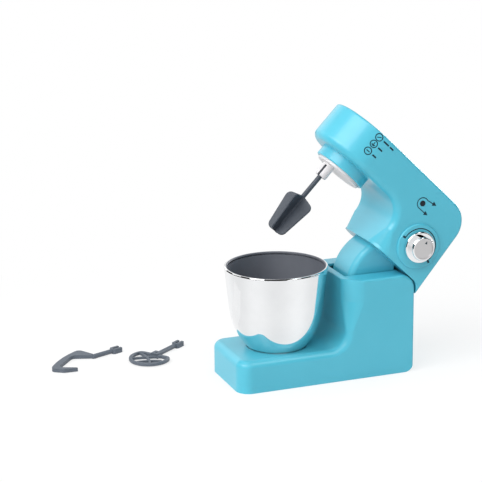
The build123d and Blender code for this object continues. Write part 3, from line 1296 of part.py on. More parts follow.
# Speed knob: stepped and chromed, hollow behind, with a socket on the spindle
with BuildPart() as speed_knob:
    with BuildSketch(Plane.XZ.offset(-KNOB_BACK_Y)):
        Circle(KNOB_RADIUS)
    extrude(amount=KNOB_SKIRT)
    fillet(speed_knob.edges().group_by(Axis.Y)[0], KNOB_FACE_ROUND)
    with BuildSketch(Plane.XZ.offset(-KNOB_BACK_Y + KNOB_SKIRT)):
        Circle(KNOB_FACE_RADIUS)
    extrude(amount=KNOB_FACE_HEIGHT)
    fillet(speed_knob.edges().group_by(Axis.Y)[0], KNOB_FACE_ROUND)
    with BuildSketch(Plane.XZ.offset(-KNOB_FRONT_Y)):
        Circle(KNOB_DISH_RADIUS)
    extrude(amount=-KNOB_DISH_DEPTH, taper=-KNOB_RADIUS, mode=Mode.SUBTRACT)
    with BuildSketch(Plane.XZ.offset(-KNOB_BACK_Y)):
        Circle(KNOB_FACE_RADIUS - KNOB_WALL)
        Circle(KNOB_SOCKET_RADIUS, mode=Mode.SUBTRACT)
    extrude(amount=KNOB_SKIRT + KNOB_FACE_HEIGHT - KNOB_DISH_DEPTH - KNOB_WALL, mode=Mode.SUBTRACT)
    with BuildSketch(Plane.XZ.offset(-KNOB_BACK_Y)):
        Circle(SPINDLE_PIN_RADIUS + RUNNING_FIT)
        with Locations((0, SPINDLE_PIN_FLAT + RUNNING_FIT)):
            Rectangle(
                3 * SPINDLE_PIN_RADIUS,
                SPINDLE_PIN_RADIUS,
                align=(Align.CENTER, Align.MIN),
                mode=Mode.SUBTRACT,
            )
    extrude(amount=KNOB_SKIRT + KNOB_FACE_HEIGHT - KNOB_WALL, mode=Mode.SUBTRACT)
speed_knob.part = swing_open(speed_knob.part.moved(Location((DIAL_X, 0, DIAL_Z))))
speed_knob.part.label = "speed_knob"
export_step(speed_knob.part, "parts/speed_knob.step")

with BuildPart() as indicator_lens:
    add(rod(LENS_RADIUS, (LENS_X, -INNER_HALF, LENS_Z), (LENS_X, -HALF_WIDTH - LENS_STANDOUT, LENS_Z)))
    fillet(indicator_lens.edges().group_by(Axis.Y)[0], LENS_STANDOUT)
indicator_lens.part = swing_open(indicator_lens.part)
indicator_lens.part.label = "indicator_lens"
export_step(indicator_lens.part, "parts/indicator_lens.step")

with BuildPart() as indicator_led:
    led_front = (LENS_X, -INNER_HALF + FREE_GAP, LENS_Z)
    add(rod(LED_RADIUS, led_front, (LENS_X, -INNER_HALF + LED_LENGTH, LENS_Z)))
    fillet(indicator_led.edges().group_by(Axis.Y)[0], LED_RADIUS / 2)
indicator_led.part = swing_open(indicator_led.part)
indicator_led.part.label = "indicator_led"
export_step(indicator_led.part, "parts/indicator_led.step")

# Lead in the head: from the hinge axis through the hollow neck to the back of the board
with BuildPart() as head_lead:
    ray_x, ray_z = on_hinge_circle(LEAD_RAY, LEAD_RAY_ANGLE)
    add(
        lead(
            [
                (HINGE_X, -EAR_Y, HINGE_Z),
                (HINGE_X, -LEAD_INSIDE, HINGE_Z),
                (ray_x, -LEAD_INSIDE, ray_z),
                (ray_x, -LEAD_INSIDE, DIAL_Z),
                (ray_x, BOARD_Y + BOARD_THICKNESS, DIAL_Z),
            ]
        )
    )
head_lead.part = swing_open(head_lead.part)
head_lead.part.label = "head_lead"
export_step(head_lead.part, "parts/head_lead.step")

# Bowl: chromed shell with a rolled rim, and a grey liner inside it
with BuildPart() as bowl_shell:
    add(bowl_form(0, BOWL_RIM_Z - RIM_BEAD))
    add(bowl_form(BOWL_WALL, BOWL_RIM_Z - RIM_BEAD), mode=Mode.SUBTRACT)
    with BuildSketch(Plane.XZ):
        with Locations((SPINDLE_X + BOWL_RIM_RADIUS - RIM_BEAD, BOWL_RIM_Z - RIM_BEAD)):
            Circle(RIM_BEAD)
    revolve(axis=Axis((SPINDLE_X, 0, 0), (0, 0, 1)))
bowl_shell.part.label = "bowl_shell"
export_step(bowl_shell.part, "parts/bowl_shell.step")

with BuildPart() as bowl_liner:
    add(bowl_form(BOWL_WALL + SLIP_FIT, BOWL_RIM_Z - LINER_DROP))
    add(bowl_form(2 * BOWL_WALL + SLIP_FIT, BOWL_RIM_Z - LINER_DROP), mode=Mode.SUBTRACT)
bowl_liner.part.label = "bowl_liner"
export_step(bowl_liner.part, "parts/bowl_liner.step")


def paddle_fin():
    """One pair of opposite fins, drawn upright with the lower end at height zero."""
    with BuildSketch(Plane.XZ) as fin:
        with BuildLine():
            Polyline(
                (-PADDLE_LOW_RADIUS, 0),
                (PADDLE_LOW_RADIUS, 0),
                (PADDLE_TOP_RADIUS, PADDLE_HEIGHT - PADDLE_SHOULDER),
                (STEM_DIAMETER / 2, PADDLE_HEIGHT),
                (-STEM_DIAMETER / 2, PADDLE_HEIGHT),
                (-PADDLE_TOP_RADIUS, PADDLE_HEIGHT - PADDLE_SHOULDER),
                close=True,
            )
        make_face()
        corners = fin.vertices().sort_by(Axis.X)
        fillet(corners[:2] + corners[-2:], PADDLE_CORNER)
    return fin.sketch


# Paddle beater: fork, stem and four fins, drawn upright and then set into the hub
with BuildPart() as paddle_beater:
    extrude(paddle_fin(), amount=FIN_THICKNESS / 2, both=True)
    fillet(paddle_beater.edges().filter_by(Axis.Y, reverse=True), FIN_EDGE)
    fins = paddle_beater.part
    add(fins.rotate(Axis.Z, 90))
    with BuildSketch(Plane.XY.offset(PADDLE_LOW_RADIUS)):
        Circle(STEM_DIAMETER / 2)
    extrude(amount=PADDLE_HEIGHT + PADDLE_STEM - PADDLE_LOW_RADIUS)
    add(tool_fork().moved(Location((0, 0, PADDLE_HEIGHT + PADDLE_STEM))))
paddle_place = Location((HUB_X, 0, HUB_LOW_Z + SLIP_FIT - PADDLE_HEIGHT - PADDLE_STEM))
paddle_beater.part = swing_open(paddle_beater.part.rotate(Axis.Z, PADDLE_TURN).moved(paddle_place))
paddle_beater.part.label = "paddle_beater"
export_step(paddle_beater.part, "parts/paddle_beater.step")

# Dough hook: flat hook on a short stem, drawn with its stem along X and laid on the floor
with BuildPart() as dough_hook:
    half_stem = STEM_DIAMETER / 2
    with BuildSketch() as hook_outline:
        with BuildLine():
            Line((0, half_stem), HOOK_APEX)
            ThreePointArc(HOOK_APEX, HOOK_BACK, HOOK_HEEL)
            Line(HOOK_HEEL, HOOK_SOLE)
            Line(HOOK_SOLE, HOOK_TIP)
            Line(HOOK_TIP, (HOOK_TIP[0], HOOK_TIP[1] + HOOK_TIP_WIDTH))
            Line((HOOK_TIP[0], HOOK_TIP[1] + HOOK_TIP_WIDTH), HOOK_INNER_HEEL)
            Line(HOOK_INNER_HEEL, HOOK_NOTCH)
            Line(HOOK_NOTCH, (0, -half_stem))
            Line((0, -half_stem), (0, half_stem))
        make_face()
        for corner in (HOOK_APEX, HOOK_HEEL, HOOK_SOLE, HOOK_INNER_HEEL, HOOK_NOTCH):
            fillet(hook_outline.vertices().sort_by_distance((*corner, 0))[0], HOOK_ROUND)
    extrude(amount=HOOK_THICKNESS / 2, both=True)
    add(rod(half_stem, (-half_stem, 0, 0), (HOOK_STEM, 0, 0)))
    add(tool_fork().rotate(Axis.X, -90).rotate(Axis.Z, -90).moved(Location((HOOK_STEM, 0, 0))))
hook_place = Location((*HOOK_PLACE, FORK_THICKNESS / 2))
dough_hook.part = dough_hook.part.rotate(Axis.Z, HOOK_YAW).moved(hook_place)
dough_hook.part.label = "dough_hook"
export_step(dough_hook.part, "parts/dough_hook.step")


def beater_loop(grow):
    """Round frame of the wire beater, flat towards the stem, its edge moved out from the wire's middle."""
    with BuildSketch() as loop:
        with Locations((-BEATER_CHORD, 0)):
            Circle(BEATER_RADIUS + grow)
        with Locations((grow, 0)):
            Rectangle(
                BEATER_RADIUS, 4 * BEATER_RADIUS, align=(Align.MIN, Align.CENTER), mode=Mode.SUBTRACT
            )
        fillet(loop.vertices().group_by(Axis.X)[-1], BEATER_CORNER + grow)
    return loop.sketch


def beater_bars():
    """Three bowed bars inside the frame of the wire beater."""
    with BuildSketch() as bars:
        for bar in BEATER_BARS:
            with BuildLine():
                ThreePointArc(*bar)
            trace(line_width=BEATER_BAR)
        add(beater_loop(0), mode=Mode.INTERSECT)
    return bars.sketch


# Wire beater: round frame with bars on a long stem, drawn with its stem along X and laid on the floor
with BuildPart() as wire_beater:
    with BuildSketch():
        add(beater_loop(BEATER_WIRE / 2))
        add(beater_loop(-BEATER_WIRE / 2), mode=Mode.SUBTRACT)
    extrude(amount=BEATER_WIRE / 2, both=True)
    fillet(wire_beater.edges(), BEATER_EDGE)
    extrude(beater_bars(), amount=BEATER_BAR / 2, both=True)
    with Locations((BEATER_BLOCK / 2 - BEATER_WIRE / 2, 0, 0)):
        Box(BEATER_BLOCK, BEATER_BLOCK, FORK_THICKNESS)
    with Locations((BEATER_BLOCK / 2 - BEATER_WIRE / 2, 0, 0)):
        Cylinder(BEATER_BLOCK_HOLE, FORK_THICKNESS, mode=Mode.SUBTRACT)
    add(rod(STEM_DIAMETER / 2, (BEATER_BLOCK - BEATER_WIRE, 0, 0), (BEATER_STEM, 0, 0)))
    add(tool_fork().rotate(Axis.X, -90).rotate(Axis.Z, -90).moved(Location((BEATER_STEM, 0, 0))))
beater_place = Location((*BEATER_PLACE, FORK_THICKNESS / 2))
wire_beater.part = wire_beater.part.rotate(Axis.Z, BEATER_YAW).moved(beater_place)
wire_beater.part.label = "wire_beater"
export_step(wire_beater.part, "parts/wire_beater.step")
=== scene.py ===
# %% [markdown]
# Toy stand mixer, dressed. The solids of the mixer are already in the frame: shells, bowl, knob, gears and
# tools, each one moving with its body. Almost every shape of the real toy is a rigid moulding, so the
# solids stay and this file gives them their finishes, adds the printed marks, and lights the toy as in a
# studio.

# %% Load the frame
import math

import bmesh
import bpy
import numpy as np
from mathutils import Matrix, Vector


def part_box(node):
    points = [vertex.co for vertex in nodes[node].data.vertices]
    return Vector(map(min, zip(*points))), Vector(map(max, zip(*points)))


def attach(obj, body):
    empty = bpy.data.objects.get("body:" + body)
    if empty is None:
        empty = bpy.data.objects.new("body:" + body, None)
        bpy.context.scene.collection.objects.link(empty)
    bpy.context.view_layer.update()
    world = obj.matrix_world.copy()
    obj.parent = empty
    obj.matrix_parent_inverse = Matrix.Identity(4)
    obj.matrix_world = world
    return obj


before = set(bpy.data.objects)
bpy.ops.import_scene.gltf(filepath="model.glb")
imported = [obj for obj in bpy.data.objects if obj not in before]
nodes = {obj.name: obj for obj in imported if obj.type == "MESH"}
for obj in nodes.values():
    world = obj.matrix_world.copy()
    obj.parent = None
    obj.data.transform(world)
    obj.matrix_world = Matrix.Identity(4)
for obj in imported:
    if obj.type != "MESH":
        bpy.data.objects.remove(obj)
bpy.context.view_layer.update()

# %% [markdown]
# The toy is photographed from its knob side, a little in front and a little above, with a long lens from
# about 1.7 metres. A camera is a place, a direction and a lens. The direction is given here as three turns,
# which is easier to read than a matrix: round the compass, down towards the table, and a small lean.

# %% Camera
EYE = Vector((-0.63429, -1.50165, 0.58863))
COMPASS = math.radians(20.3847)
DIP = math.radians(-15.4476)
LEAN = math.radians(-0.6542)
LENS = 124.731
SENSOR_WIDTH = 36.0
FAR_CLIP = 50.0

ahead = Vector((math.sin(COMPASS) * math.cos(DIP), math.cos(COMPASS) * math.cos(DIP), math.sin(DIP)))
level = ahead.cross(Vector((0, 0, 1))).normalized()
upright = level.cross(ahead)
side_way = level * math.cos(LEAN) + upright * math.sin(LEAN)
up_way = upright * math.cos(LEAN) - level * math.sin(LEAN)
facing = Matrix((side_way, up_way, -ahead)).transposed()

camera_data = bpy.data.cameras.new("camera")
camera_data.sensor_fit = "HORIZONTAL"
camera_data.sensor_width = SENSOR_WIDTH
camera_data.lens = LENS
camera_data.clip_end = FAR_CLIP
camera = bpy.data.objects.new("camera", camera_data)
camera.matrix_world = Matrix.Translation(EYE) @ facing.to_4x4()
bpy.context.scene.collection.objects.link(camera)
bpy.context.scene.camera = camera
print("camera", [round(v, 3) for v in EYE], "lens", LENS)

# %% [markdown]
# New pieces are surfaces worked out as arrays. A surface is a grid of points, rows by columns, and the
# faces join each point with the next row and the next column. A grid that closes on itself is wrapped in
# that direction, and an open one gets a face over each end. Last, all faces are turned to point outwards.

# %% Grid surfaces
MERGE_DISTANCE = 1e-7


def grid_faces(rows, columns, wrap_rows, start=0):
    """Faces of a grid whose columns always close on themselves: each face joins a point, its neighbour
    in the next column and the two below. Without wrapped rows, the first and last rows get a cap of all
    their points. Points are counted from a start number."""
    index = start + np.arange(rows * columns).reshape(rows, columns)
    below = np.roll(index, -1, axis=0)
    beside = np.roll(index, -1, axis=1)
    corner = np.roll(below, -1, axis=1)
    quads = np.stack([index, beside, corner, below], axis=-1)
    if wrap_rows:
        return quads.reshape(-1, 4).tolist()
    return quads[:-1].reshape(-1, 4).tolist() + [index[0][::-1].tolist(), index[-1].tolist()]


def grid_piece(name, grids):
    """One object from several grids of points, each a pair of an array (rows, columns, 3) and whether
    its rows wrap. Doubles are merged, so a row that shrinks to a point closes as a pole."""
    mesh = bpy.data.meshes.new(name)
    points, faces, start = [], [], 0
    for grid, wrap_rows in grids:
        rows, columns = grid.shape[:2]
        faces += grid_faces(rows, columns, wrap_rows, start)
        points.append(grid.reshape(-1, 3))
        start += rows * columns
    mesh.from_pydata(np.concatenate(points).tolist(), [], faces)
    tidy = bmesh.new()
    tidy.from_mesh(mesh)
    bmesh.ops.remove_doubles(tidy, verts=tidy.verts, dist=MERGE_DISTANCE)
    bmesh.ops.recalc_face_normals(tidy, faces=tidy.faces)
    tidy.to_mesh(mesh)
    tidy.free()
    piece = bpy.data.objects.new(name, mesh)
    bpy.context.scene.collection.objects.link(piece)
    return piece


print("a test band has", len(grid_faces(8, 4, False)), "faces")

# %% [markdown]
# Moulded plastic is never one even colour. Its pigment is a little uneven, its gloss changes where the
# tool was polished, and the skin is slightly wavy. One node group makes all three from layered noise: a
# broad mask for the pigment, a medium one for the gloss and a fine one for the skin. Every plastic here
# uses it with its own values.

# %% Node group for moulded skin
POLISH_SCALE = 140.0


def new_group(name, inputs, outputs):
    """Empty shader group with number sockets, each input given with its usual value."""
    group = bpy.data.node_groups.new(name, "ShaderNodeTree")
    for label, value in inputs:
        socket = group.interface.new_socket(label, in_out="INPUT", socket_type="NodeSocketFloat")
        socket.default_value = value
    for label in outputs:
        group.interface.new_socket(label, in_out="OUTPUT", socket_type="NodeSocketFloat")
    return group, group.nodes.new("NodeGroupInput"), group.nodes.new("NodeGroupOutput")


def noise(tree, where, scale, detail):
    """Noise on the object's own coordinates, in cells per metre."""
    node = tree.nodes.new("ShaderNodeTexNoise")
    node.inputs["Detail"].default_value = detail
    tree.links.new(where, node.inputs["Vector"])
    if isinstance(scale, (int, float)):
        node.inputs["Scale"].default_value = scale
    else:
        tree.links.new(scale, node.inputs["Scale"])
    return node.outputs["Fac"]


def math_node(tree, kind, first, second=0.0):
    """One arithmetic step on one or two numbers or sockets."""
    node = tree.nodes.new("ShaderNodeMath")
    node.operation = kind
    for socket, value in zip(node.inputs, (first, second)):
        if isinstance(value, (int, float)):
            socket.default_value = value
        else:
            tree.links.new(value, socket)
    return node.outputs[0]


skin, skin_in, skin_out = new_group(
    "moulded skin",
    [("Patch Scale", 30.0), ("Grain Scale", 900.0), ("Gloss", 0.3), ("Gloss Spread", 0.1)],
    ["Pigment", "Roughness", "Height"],
)
skin_where = skin.nodes.new("ShaderNodeTexCoord").outputs["Object"]
pigment = noise(skin, skin_where, skin_in.outputs["Patch Scale"], detail=3.0)
polish = noise(skin, skin_where, POLISH_SCALE, detail=4.0)
grain = noise(skin, skin_where, skin_in.outputs["Grain Scale"], detail=2.0)
uneven = math_node(skin, "SUBTRACT", polish, 0.5)
skin_swing = math_node(skin, "MULTIPLY", uneven, skin_in.outputs["Gloss Spread"])
skin_rough = math_node(skin, "ADD", skin_in.outputs["Gloss"], skin_swing)
skin.links.new(pigment, skin_out.inputs["Pigment"])
skin.links.new(skin_rough, skin_out.inputs["Roughness"])
skin.links.new(grain, skin_out.inputs["Height"])
print("group", skin.name, "with", len(skin.nodes), "nodes")

# %% [markdown]
# Plated and drawn metal shows fine lines and faint fingerprints rather than grain. A second group
# stretches noise along one axis for the lines, and uses a slow noise for the smears.

# %% Node group for metal lines
SMEAR_SCALE = 45.0
lines, lines_in, lines_out = new_group(
    "metal lines",
    [("Line Scale", 900.0), ("Stretch", 0.05), ("Gloss", 0.2), ("Gloss Spread", 0.1)],
    ["Smear", "Roughness", "Height"],
)
lines_where = lines.nodes.new("ShaderNodeTexCoord").outputs["Object"]
squeeze = lines.nodes.new("ShaderNodeVectorMath")
squeeze.operation = "MULTIPLY"
pull = lines.nodes.new("ShaderNodeCombineXYZ")
pull.inputs["X"].default_value = 1.0
pull.inputs["Y"].default_value = 1.0
lines.links.new(lines_in.outputs["Stretch"], pull.inputs["Z"])
lines.links.new(lines_where, squeeze.inputs[0])
lines.links.new(pull.outputs[0], squeeze.inputs[1])
streak = noise(lines, squeeze.outputs[0], lines_in.outputs["Line Scale"], detail=3.0)
smear = noise(lines, lines_where, SMEAR_SCALE, detail=4.0)
half_streak = math_node(lines, "MULTIPLY", streak, 0.5)
half_smear = math_node(lines, "MULTIPLY", smear, 0.5)
uneven = math_node(lines, "SUBTRACT", math_node(lines, "ADD", half_streak, half_smear), 0.5)
lines_swing = math_node(lines, "MULTIPLY", uneven, lines_in.outputs["Gloss Spread"])
lines_rough = math_node(lines, "ADD", lines_in.outputs["Gloss"], lines_swing)
lines.links.new(smear, lines_out.inputs["Smear"])
lines.links.new(lines_rough, lines_out.inputs["Roughness"])
lines.links.new(streak, lines_out.inputs["Height"])
print("group", lines.name, "with", len(lines.nodes), "nodes")

# %% [markdown]
# A finish is a Principled shader fed by one of the two groups. Two tints of the same pigment are mixed by
# the group's mask, the roughness comes from the group, and its height goes through a Bump node. Numbers
# that are the same all over, such as metallic or coat, are set on the shader itself.

# %% Finishes from a group
MASK_LOW, MASK_HIGH = 0.3, 0.7


def finish(name, tints, group, values, bump, constants):
    """Material with two tints mixed by the group's mask, and the group's roughness and height. The bump
    is its strength and its depth in metres."""
    material = bpy.data.materials.new(name)
    material.use_nodes = True
    tree = material.node_tree
    shader = tree.nodes["Principled BSDF"]
    source = tree.nodes.new("ShaderNodeGroup")
    source.node_tree = group
    for label, value in values.items():
        source.inputs[label].default_value = value
    spread = tree.nodes.new("ShaderNodeMapRange")
    spread.inputs["From Min"].default_value = MASK_LOW
    spread.inputs["From Max"].default_value = MASK_HIGH
    blend = tree.nodes.new("ShaderNodeMix")
    blend.data_type = "RGBA"
    blend.inputs["A"].default_value = (*tints[0], 1.0)
    blend.inputs["B"].default_value = (*tints[1], 1.0)
    bumps = tree.nodes.new("ShaderNodeBump")
    bumps.inputs["Strength"].default_value = bump[0]
    bumps.inputs["Distance"].default_value = bump[1]
    tree.links.new(source.outputs[0], spread.inputs["Value"])
    tree.links.new(spread.outputs[0], blend.inputs["Factor"])
    tree.links.new(blend.outputs["Result"], shader.inputs["Base Color"])
    tree.links.new(source.outputs["Roughness"], shader.inputs["Roughness"])
    tree.links.new(source.outputs["Height"], bumps.inputs["Height"])
    tree.links.new(bumps.outputs["Normal"], shader.inputs["Normal"])
    for label, value in constants.items():
        shader.inputs[label].default_value = value
    return material


def node_of(tree, kind):
    """First node of a kind in a tree."""
    return next(node for node in tree.nodes if node.type == kind)


print("a finish mixes its tints between", MASK_LOW, "and", MASK_HIGH, "of the mask")

# %% [markdown]
# The shells, tools and gears of the toy are moulded in a few plastics: turquoise gloss outside, white behind
# the tool, dark grey for the tools and the inside of the bowl, and duller ones within. The washers are
# rubber, and the leads have red covers. Each is a pair of tints and a gloss. One tint could be enough, but
# two that lie close together keep the large faces from looking flat. The paddle's grey is the same slate
# made darker, a painted shade standing in for the shade it hangs in.

# %% Plastics
turquoise = finish(
    "turquoise gloss", [(0.062, 0.414, 0.540), (0.070, 0.436, 0.566)], skin,
    {"Patch Scale": 18.0, "Grain Scale": 260.0, "Gloss": 0.30, "Gloss Spread": 0.06},
    (0.05, 0.0004), {"IOR": 1.5, "Coat Weight": 0.15, "Coat Roughness": 0.08},
)
white = finish(
    "white satin", [(0.60, 0.585, 0.595), (0.66, 0.643, 0.653)], skin,
    {"Patch Scale": 60.0, "Grain Scale": 1200.0, "Gloss": 0.36, "Gloss Spread": 0.1},
    (0.06, 0.0002), {"IOR": 1.5},
)
slate_skin = {"Patch Scale": 90.0, "Grain Scale": 2200.0, "Gloss": 0.50, "Gloss Spread": 0.14}
slate = finish(
    "slate matte", [(0.078, 0.096, 0.122), (0.094, 0.112, 0.140)], skin, slate_skin,
    (0.16, 0.0002), {"IOR": 1.48},
)
# The paddle is the tools' slate with darker tints: painted shade, not a different plastic.
shaded_paddle_slate = finish(
    "paddle slate painted shade", [(0.030, 0.040, 0.056), (0.038, 0.049, 0.067)], skin, slate_skin,
    (0.16, 0.0002), {"IOR": 1.48},
)
bowl_grey = finish(
    "bowl grey", [(0.118, 0.128, 0.152), (0.132, 0.142, 0.166)], skin,
    {"Patch Scale": 40.0, "Grain Scale": 1800.0, "Gloss": 0.58, "Gloss Spread": 0.12},
    (0.12, 0.0002), {"IOR": 1.46},
)
gear_nylon = finish(
    "gear nylon", [(0.78, 0.76, 0.68), (0.84, 0.82, 0.75)], skin,
    {"Patch Scale": 120.0, "Grain Scale": 1600.0, "Gloss": 0.42, "Gloss Spread": 0.15},
    (0.10, 0.0002), {"IOR": 1.53},
)
inner_grey = finish(
    "inner grey", [(0.10, 0.105, 0.112), (0.13, 0.135, 0.142)], skin,
    {"Patch Scale": 70.0, "Grain Scale": 1500.0, "Gloss": 0.55, "Gloss Spread": 0.12},
    (0.14, 0.0002), {"IOR": 1.48},
)
black_part = finish(
    "black switch", [(0.018, 0.018, 0.020), (0.030, 0.030, 0.033)], skin,
    {"Patch Scale": 200.0, "Grain Scale": 2500.0, "Gloss": 0.48, "Gloss Spread": 0.12},
    (0.12, 0.0001), {"IOR": 1.5},
)
lens_dark = finish(
    "dark lens", [(0.005, 0.008, 0.012), (0.010, 0.014, 0.020)], skin,
    {"Patch Scale": 300.0, "Grain Scale": 900.0, "Gloss": 0.12, "Gloss Spread": 0.05},
    (0.02, 0.0001), {"Specular IOR Level": 0.2},
)
rubber = finish(
    "rubber washer", [(0.020, 0.020, 0.021), (0.034, 0.034, 0.035)], skin,
    {"Patch Scale": 250.0, "Grain Scale": 3000.0, "Gloss": 0.75, "Gloss Spread": 0.15},
    (0.25, 0.0002), {"IOR": 1.5},
)
lead_red = finish(
    "lead cover", [(0.36, 0.030, 0.026), (0.46, 0.045, 0.036)], skin,
    {"Patch Scale": 400.0, "Grain Scale": 2600.0, "Gloss": 0.46, "Gloss Spread": 0.1},
    (0.10, 0.0001), {"IOR": 1.5},
)
print("materials so far", len(bpy.data.materials))

# %% [markdown]
# Screws, pins, contacts, the motor's can and its pinion are bare metal. They take the group of fine lines,
# and their metallic value is set on the shader, because it is the same all over.

# %% Metals
zinc = finish(
    "zinc steel", [(0.50, 0.51, 0.52), (0.62, 0.62, 0.62)], lines,
    {"Line Scale": 1800.0, "Stretch": 0.3, "Gloss": 0.30, "Gloss Spread": 0.2},
    (0.08, 0.0001), {"Metallic": 1.0},
)
motor_can = finish(
    "motor can", [(0.56, 0.56, 0.57), (0.66, 0.66, 0.66)], lines,
    {"Line Scale": 900.0, "Stretch": 0.06, "Gloss": 0.34, "Gloss Spread": 0.18},
    (0.10, 0.0001), {"Metallic": 1.0},
)
brass = finish(
    "brass", [(0.62, 0.42, 0.15), (0.72, 0.51, 0.21)], lines,
    {"Line Scale": 1500.0, "Stretch": 0.2, "Gloss": 0.28, "Gloss Spread": 0.16},
    (0.08, 0.0001), {"Metallic": 1.0},
)
print("materials so far", len(bpy.data.materials))

# %% [markdown]
# Two plated pieces have a second finish inside a ring: the knob has a satin face, and the grey inside of
# the bowl is sprayed up to the crown of its rolled rim. Both share one group, a step on the distance from
# an axis. It is read from Object coordinates, so it stays on the piece wherever that goes.

# %% Node group for a ring step
RING_BLUR = 0.0002
ring_step, ring_in, ring_out = new_group(
    "ring step",
    [("Centre X", 0.0), ("Centre Y", 0.0), ("Centre Z", 0.0),
     ("Use Y", 1.0), ("Use Z", 1.0), ("Radius", 0.01)],
    ["Outside"],
)
ring_centre = ring_step.nodes.new("ShaderNodeCombineXYZ")
ring_use = ring_step.nodes.new("ShaderNodeCombineXYZ")
ring_use.inputs["X"].default_value = 1.0
for axis in "XYZ":
    ring_step.links.new(ring_in.outputs["Centre " + axis], ring_centre.inputs[axis])
for axis in "YZ":
    ring_step.links.new(ring_in.outputs["Use " + axis], ring_use.inputs[axis])
ring_from, ring_flat, ring_length = (ring_step.nodes.new("ShaderNodeVectorMath") for _ in range(3))
ring_from.operation, ring_flat.operation, ring_length.operation = "SUBTRACT", "MULTIPLY", "LENGTH"
ring_edge = ring_step.nodes.new("ShaderNodeMapRange")
ring_step.links.new(ring_step.nodes.new("ShaderNodeTexCoord").outputs["Object"], ring_from.inputs[0])
ring_step.links.new(ring_centre.outputs[0], ring_from.inputs[1])
ring_step.links.new(ring_from.outputs["Vector"], ring_flat.inputs[0])
ring_step.links.new(ring_use.outputs[0], ring_flat.inputs[1])
ring_step.links.new(ring_flat.outputs["Vector"], ring_length.inputs[0])
ring_step.links.new(ring_length.outputs["Value"], ring_edge.inputs["Value"])
ring_start = math_node(ring_step, "SUBTRACT", ring_in.outputs["Radius"], RING_BLUR)
ring_step.links.new(ring_start, ring_edge.inputs["From Min"])
ring_step.links.new(ring_in.outputs["Radius"], ring_edge.inputs["From Max"])
ring_step.links.new(ring_edge.outputs[0], ring_out.inputs["Outside"])
print("group", ring_step.name, "with", len(ring_step.nodes), "nodes")

# %% [markdown]
# Chrome on plastic is bright and almost smooth. Two materials could be set face by face, but the solids
# stay as they are, so one material holds both finishes and the ring step chooses between them.

# %% Plating of the knob and the bowl
KNOB_FACE_RADIUS = 0.0108
RIM_CROWN_RADIUS = 0.0508
SPRAY_DEPTH = 0.010
CHROME_TINTS = [(0.83, 0.84, 0.85), (0.87, 0.88, 0.89)]
CHROME_LINES = {"Line Scale": 220.0, "Stretch": 0.04, "Gloss": 0.05, "Gloss Spread": 0.04}
SATIN_FACE = ((0.60, 0.592, 0.598), True, 0.36)
GREY_SPRAY = ((0.112, 0.120, 0.144), False, 0.55)


def two_finish_plating(name, inner, values, height=None):
    """Plated piece whose inside, within a radius of its axis, has a duller finish: the ring step mixes
    colour and roughness, and metal too where the inside isn't metal. The inner finish is a colour,
    whether it is metal, and a roughness. Below a height, the plating goes on as before."""
    inner_colour, inner_is_metal, inner_roughness = inner
    material = finish(name, CHROME_TINTS, lines, CHROME_LINES, (0.02, 0.0002), {})
    tree = material.node_tree
    shader = tree.nodes["Principled BSDF"]
    plated = node_of(tree, "MIX").outputs["Result"]
    polish = node_of(tree, "GROUP").outputs["Roughness"]
    ring = tree.nodes.new("ShaderNodeGroup")
    ring.node_tree = ring_step
    for label, value in values.items():
        ring.inputs[label].default_value = value
    outside = ring.outputs["Outside"]
    if height is not None:
        parts = tree.nodes.new("ShaderNodeSeparateXYZ")
        tree.links.new(tree.nodes.new("ShaderNodeTexCoord").outputs["Object"], parts.inputs[0])
        below = math_node(tree, "LESS_THAN", parts.outputs["Z"], height)
        outside = math_node(tree, "MAXIMUM", outside, below)
    tone = tree.nodes.new("ShaderNodeMix")
    tone.data_type = "RGBA"
    tone.inputs["A"].default_value = (*inner_colour, 1.0)
    gloss = tree.nodes.new("ShaderNodeMix")
    gloss.inputs["A"].default_value = inner_roughness
    for mix, outer, socket in ((tone, plated, "Base Color"), (gloss, polish, "Roughness")):
        tree.links.new(outside, mix.inputs["Factor"])
        tree.links.new(outer, mix.inputs["B"])
        tree.links.new(mix.outputs["Result"], shader.inputs[socket])
    shader.inputs["Metallic"].default_value = 1.0
    if not inner_is_metal:
        tree.links.new(outside, shader.inputs["Metallic"])
    return material


knob_low, knob_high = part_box("speed_knob")
knob_centre = (knob_low + knob_high) / 2
knob_plating = two_finish_plating("knob plating", SATIN_FACE, {
    "Centre X": knob_centre.x, "Centre Z": knob_centre.z, "Use Y": 0.0, "Radius": KNOB_FACE_RADIUS,
})

bowl_low, bowl_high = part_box("bowl_shell")
bowl_centre = (bowl_low + bowl_high) / 2
bowl_plating = two_finish_plating("bowl plating", GREY_SPRAY, {
    "Centre X": bowl_centre.x, "Centre Y": bowl_centre.y, "Use Z": 0.0, "Radius": RIM_CROWN_RADIUS,
}, bowl_high.z - SPRAY_DEPTH)
print("plated", knob_plating.name, "and", bowl_plating.name)

# %% [markdown]
# A dry cell has a dark sleeve with a copper band at one end, and a circuit board has pale tracks under
# green varnish. A step along X makes the band, and a brick pattern, whose joints are the tracks, makes the
# board.

# %% Cell sleeve and circuit board
CELL_BAND_BLUR = 0.0004
CELL_BAND_START = 0.72
TRACK_SCALE = 160.0
TRACK_WIDTH = 0.06


def banded_cell(name, low, high, edge):
    """Sleeve in two colours: a smooth step on the X coordinate at an edge, all along the cell."""
    material = finish(name, [low, high], skin,
                      {"Patch Scale": 60.0, "Grain Scale": 900.0, "Gloss": 0.3, "Gloss Spread": 0.1},
                      (0.05, 0.0001), {"Metallic": 0.35})
    tree = material.node_tree
    where = tree.nodes.new("ShaderNodeTexCoord")
    parts = tree.nodes.new("ShaderNodeSeparateXYZ")
    step = tree.nodes.new("ShaderNodeMapRange")
    step.inputs["From Min"].default_value = edge - CELL_BAND_BLUR
    step.inputs["From Max"].default_value = edge + CELL_BAND_BLUR
    tree.links.new(where.outputs["Object"], parts.inputs[0])
    tree.links.new(parts.outputs["X"], step.inputs["Value"])
    tree.links.new(step.outputs[0], node_of(tree, "MIX").inputs["Factor"])
    return material


